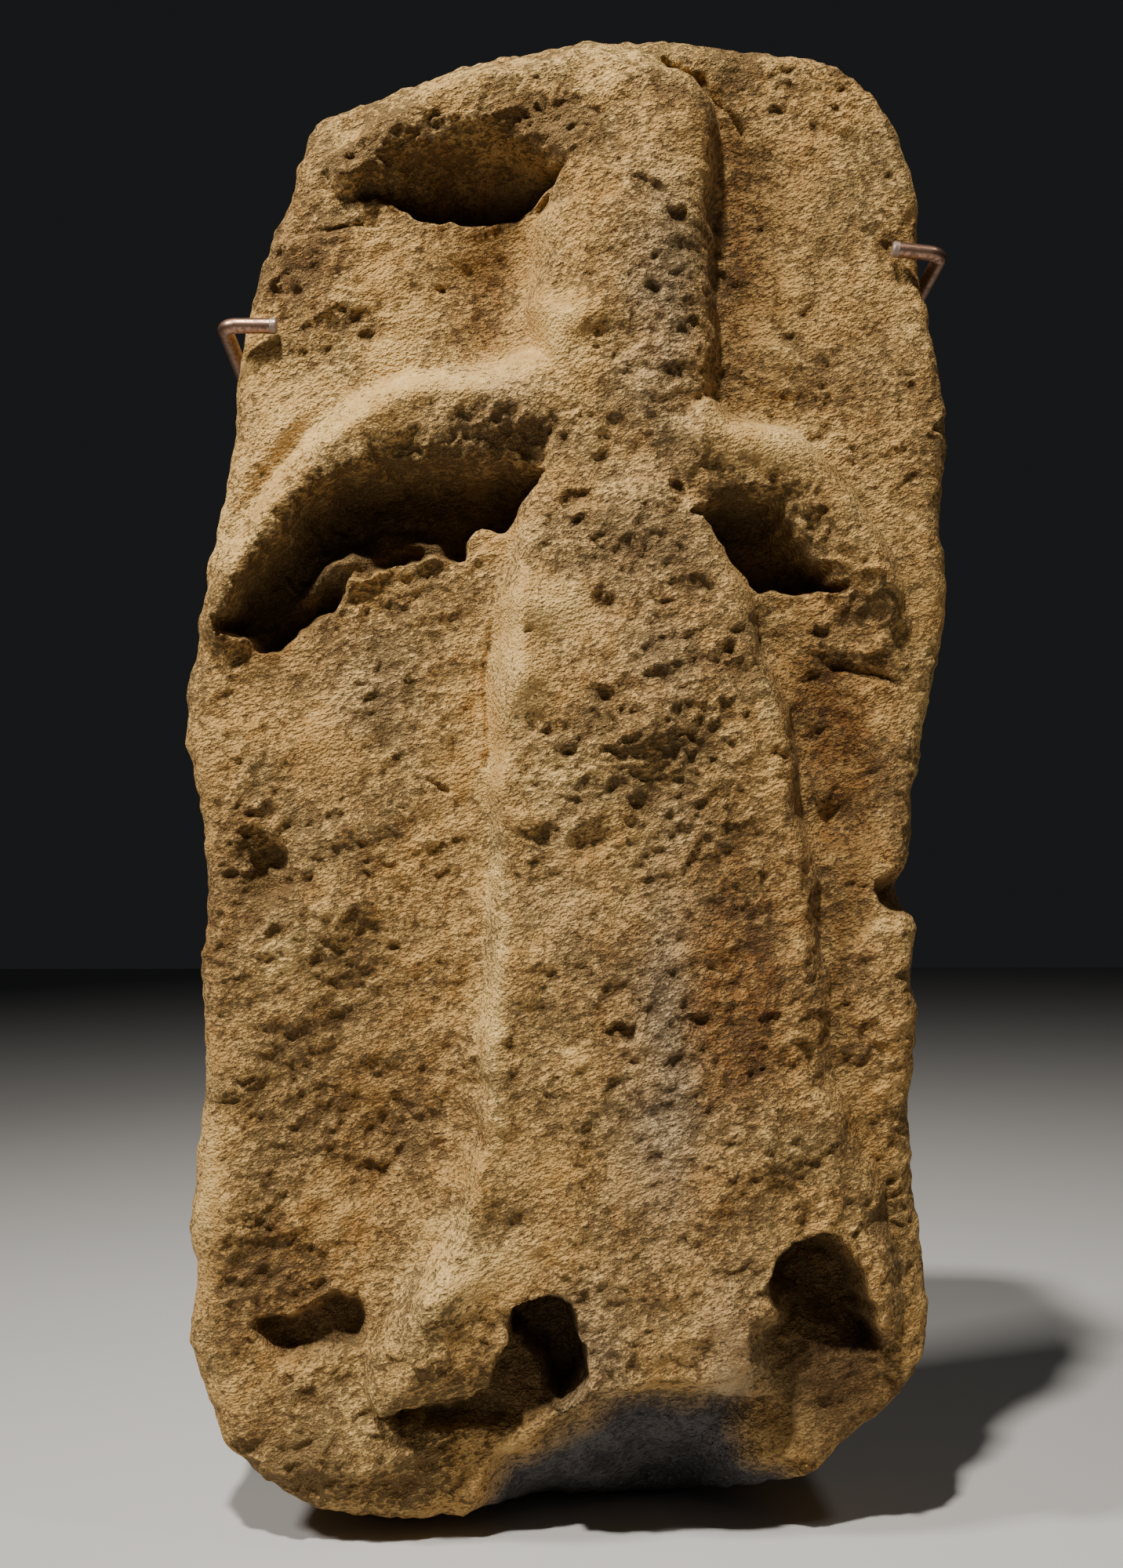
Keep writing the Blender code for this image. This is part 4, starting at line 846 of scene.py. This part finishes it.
# The finest relief, which is only shaded: small lumps, sand, and the floors of pits and pores
lumpy = limestone.noise(1, 1, 0.5, limestone.turned((0.0036, 0.0026, 0.0020), 20))
lumpy = limestone.maths("MULTIPLY", lumpy, limestone.ramp(limestone.mark("rough"), 0, 1, 1.8, 3.8))
grainy = limestone.ramp(limestone.noise(900, 0), 0, 1, 0, 0.9)
sunk = limestone.maths("ADD", limestone.ramp(pits, 0, 1, 0, -2.4), limestone.ramp(pores, 0, 1, 0, -0.9))
lumpy_and_grainy = limestone.maths("ADD", lumpy, grainy)
limestone.bump(limestone.maths("ADD", lumpy_and_grainy, sunk), stone_bump_depth)
stone.data.materials.clear()
stone.data.materials.append(limestone.material)
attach(stone, "root")
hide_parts("stone_relief")

# The wall clips
# Two bent round rods of copper coloured metal, each with a short clear sleeve on its tip. Each hooks
# over an edge of the stone, runs back beside it and goes into the wall.
rod_radius = 0.0045
bend_radius = 0.008
sleeve_length = 0.0040
sleeve_radius = 0.0047
sleeve_step = 0.0002
tip_rounding = 0.0009
rod_sides = 28
bend_steps = 10
weld_distance = 0.00001
crease_angle = 40
metal_bump_depth = 0.00006
# Each clip's side, and how far its finger dips and its leg drops for its length
clip_slopes = {"left_wall_clip": (-1, 0.0, 0.10), "right_wall_clip": (1, 0.10, 0.10)}
copper = (0.46, 0.275, 0.185, 1)
tarnish = (0.17, 0.10, 0.07, 1)
sleeve_tint = (0.34, 0.26, 0.21, 1)

metal = Shading("clip_metal_satin", 0.36)
on_sleeve = metal.mark("sleeve")
patchy = metal.ramp(metal.noise(420, 4, 0.6), 0.42, 0.66)
bare_rod = metal.mix(patchy, copper, tarnish)
metal.join(metal.mix(on_sleeve, bare_rod, sleeve_tint), metal.surface.inputs["Base Color"])
metal.join(metal.ramp(on_sleeve, 0, 1, 0.95, 0.5), metal.surface.inputs["Metallic"])
metal.join(metal.ramp(patchy, 0, 1, 0.30, 0.50), metal.surface.inputs["Roughness"])
metal.bump(metal.noise(2600, 2), metal_bump_depth)


def end_middle(piece):
    """The middle of the face that is selected in edit mode."""
    piece.update_from_editmode()
    chosen = [face.center for face in piece.data.polygons if face.select]
    return sum(chosen, Vector()) / len(chosen)


def wall_clip(node):
    """One clip, drawn from its tip along the finger, round the bend and back to the wall."""
    side, finger_dip, leg_drop = clip_slopes[node]
    low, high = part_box(node)
    tip_x, leg_x = (low.x, high.x - rod_radius) if side > 0 else (high.x, low.x + rod_radius)
    front = low.y + rod_radius
    tip = Vector((tip_x, front, high.z - rod_radius))
    corner = Vector((leg_x, front, tip.z - finger_dip * abs(leg_x - tip_x)))
    wall = Vector((leg_x, 0, corner.z + leg_drop * front))
    finger_way, leg_way = (corner - tip).normalized(), (wall - corner).normalized()
    bend = finger_way.angle(leg_way)
    reach = bend_radius * math.tan(bend / 2)
    axis = finger_way.cross(leg_way).normalized()
    centre = corner - finger_way * reach + axis.cross(finger_way) * bend_radius
    bpy.ops.object.select_all(action="DESELECT")
    bpy.ops.mesh.primitive_circle_add(
        vertices=rod_sides, radius=sleeve_radius - tip_rounding, fill_type="NGON", location=tip,
        rotation=finger_way.to_track_quat("Z", "Y").to_euler(),
    )
    clip = bpy.context.object
    clip.name = node.replace("wall_clip", "clip_with_sleeve")
    clip.data.name = clip.name
    bpy.ops.object.transform_apply(location=True, rotation=True, scale=True)
    bpy.ops.object.mode_set(mode="EDIT")
    bpy.ops.mesh.select_mode(type="FACE")
    bpy.ops.mesh.select_all(action="SELECT")

    def drawn_on(way, length, scale=1.0):
        """Extrude the end face along a way and widen or narrow it there."""
        bpy.ops.mesh.extrude_region_move(TRANSFORM_OT_translate={"value": way * length})
        here = end_middle(clip)
        bpy.ops.transform.resize(value=(scale, scale, scale), center_override=here)

    drawn_on(finger_way, tip_rounding, sleeve_radius / (sleeve_radius - tip_rounding))
    drawn_on(finger_way, sleeve_length - tip_rounding)
    drawn_on(finger_way, sleeve_step, rod_radius / sleeve_radius)
    drawn_on(finger_way, (corner - tip).length - reach - sleeve_length - sleeve_step)
    bpy.ops.mesh.spin(steps=bend_steps, angle=-bend, center=centre, axis=axis)
    drawn_on(leg_way, (wall - corner).length - reach)
    bpy.ops.transform.resize(value=(1, 0, 1), center_override=(0, 0, 0))
    bpy.ops.mesh.select_all(action="SELECT")
    bpy.ops.mesh.remove_doubles(threshold=weld_distance)
    bpy.ops.mesh.normals_make_consistent(inside=False)
    bpy.ops.object.mode_set(mode="OBJECT")
    bpy.ops.object.shade_smooth_by_angle(angle=math.radians(crease_angle))
    layer = clip.data.attributes.new("sleeve", "FLOAT", "POINT")
    for vertex, mark in zip(clip.data.vertices, layer.data):
        mark.value = float((vertex.co - tip).dot(finger_way) < sleeve_length + sleeve_step / 4)
    clip.data.materials.clear()
    clip.data.materials.append(metal.material)
    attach(clip, "root")
    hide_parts(node)


for node in clip_slopes:
    wall_clip(node)

# The studio
# A plain pale floor just under the stone, and four soft lights: the main one high above the front, which
# grazes the carving, a weaker one at the left, a faint one at the right and a faint wide one in front.
floor_gap = 0.0005
floor_size = 12.0
floor_colour = (0.50, 0.49, 0.475, 1)
light_spread = 75
sky_colour = (0.62, 0.64, 0.68, 1)
sky_strength = 0.02
bpy.ops.mesh.primitive_plane_add(size=floor_size, location=(0, 0, solid_box[0][2] - floor_gap))
floor = bpy.context.object
floor.name = "studio_floor"
plain = Shading("studio_floor_plain", 0.9)
plain.join(floor_colour, plain.surface.inputs["Base Color"])
floor.data.materials.append(plain.material)


def studio_light(name, place, target, size, power, colour):
    """A square soft light that faces a target."""
    away = (Vector(target) - Vector(place)).to_track_quat("-Z", "Y")
    bpy.ops.object.light_add(type="AREA", location=place, rotation=away.to_euler())
    light = bpy.context.object
    light.name = name
    light.data.size = size
    light.data.energy = power
    light.data.color = colour
    light.data.spread = math.radians(light_spread)


studio_light("key_light", (-0.63, -1.80, 2.94), (0, -0.1, 0), 0.20, 29.5, (1, 0.96, 0.90))
studio_light("left_light", (-1.6, -0.9, 1.5), (0, -0.1, 0), 0.30, 9.0, (1, 0.97, 0.92))
studio_light("right_light", (1.3, -0.9, 2.0), (0, -0.1, 0), 0.30, 1.1, (1, 0.97, 0.92))
studio_light("fill_light", (0.0, -2.6, 0.4), (0, 0, 0), 2.0, 0.25, (0.92, 0.95, 1))
world = bpy.data.worlds.new("studio_world")
world.use_nodes = True
sky = world.node_tree.nodes["Background"]
sky.inputs["Color"].default_value = sky_colour
sky.inputs["Strength"].default_value = sky_strength
bpy.context.scene.world = world

# The camera stands where the photograph was taken: straight in front, a little left and below the middle
lens = 45
camera_place = (-0.035, -1.2575, -0.052)
view_way = Vector((0.02636972, 0.99885294, 0.03996804))
bpy.ops.object.camera_add(location=camera_place, rotation=view_way.to_track_quat("-Z", "Y").to_euler())
camera = bpy.context.object
camera.name = "camera"
camera.data.lens = lens
bpy.context.scene.camera = camera
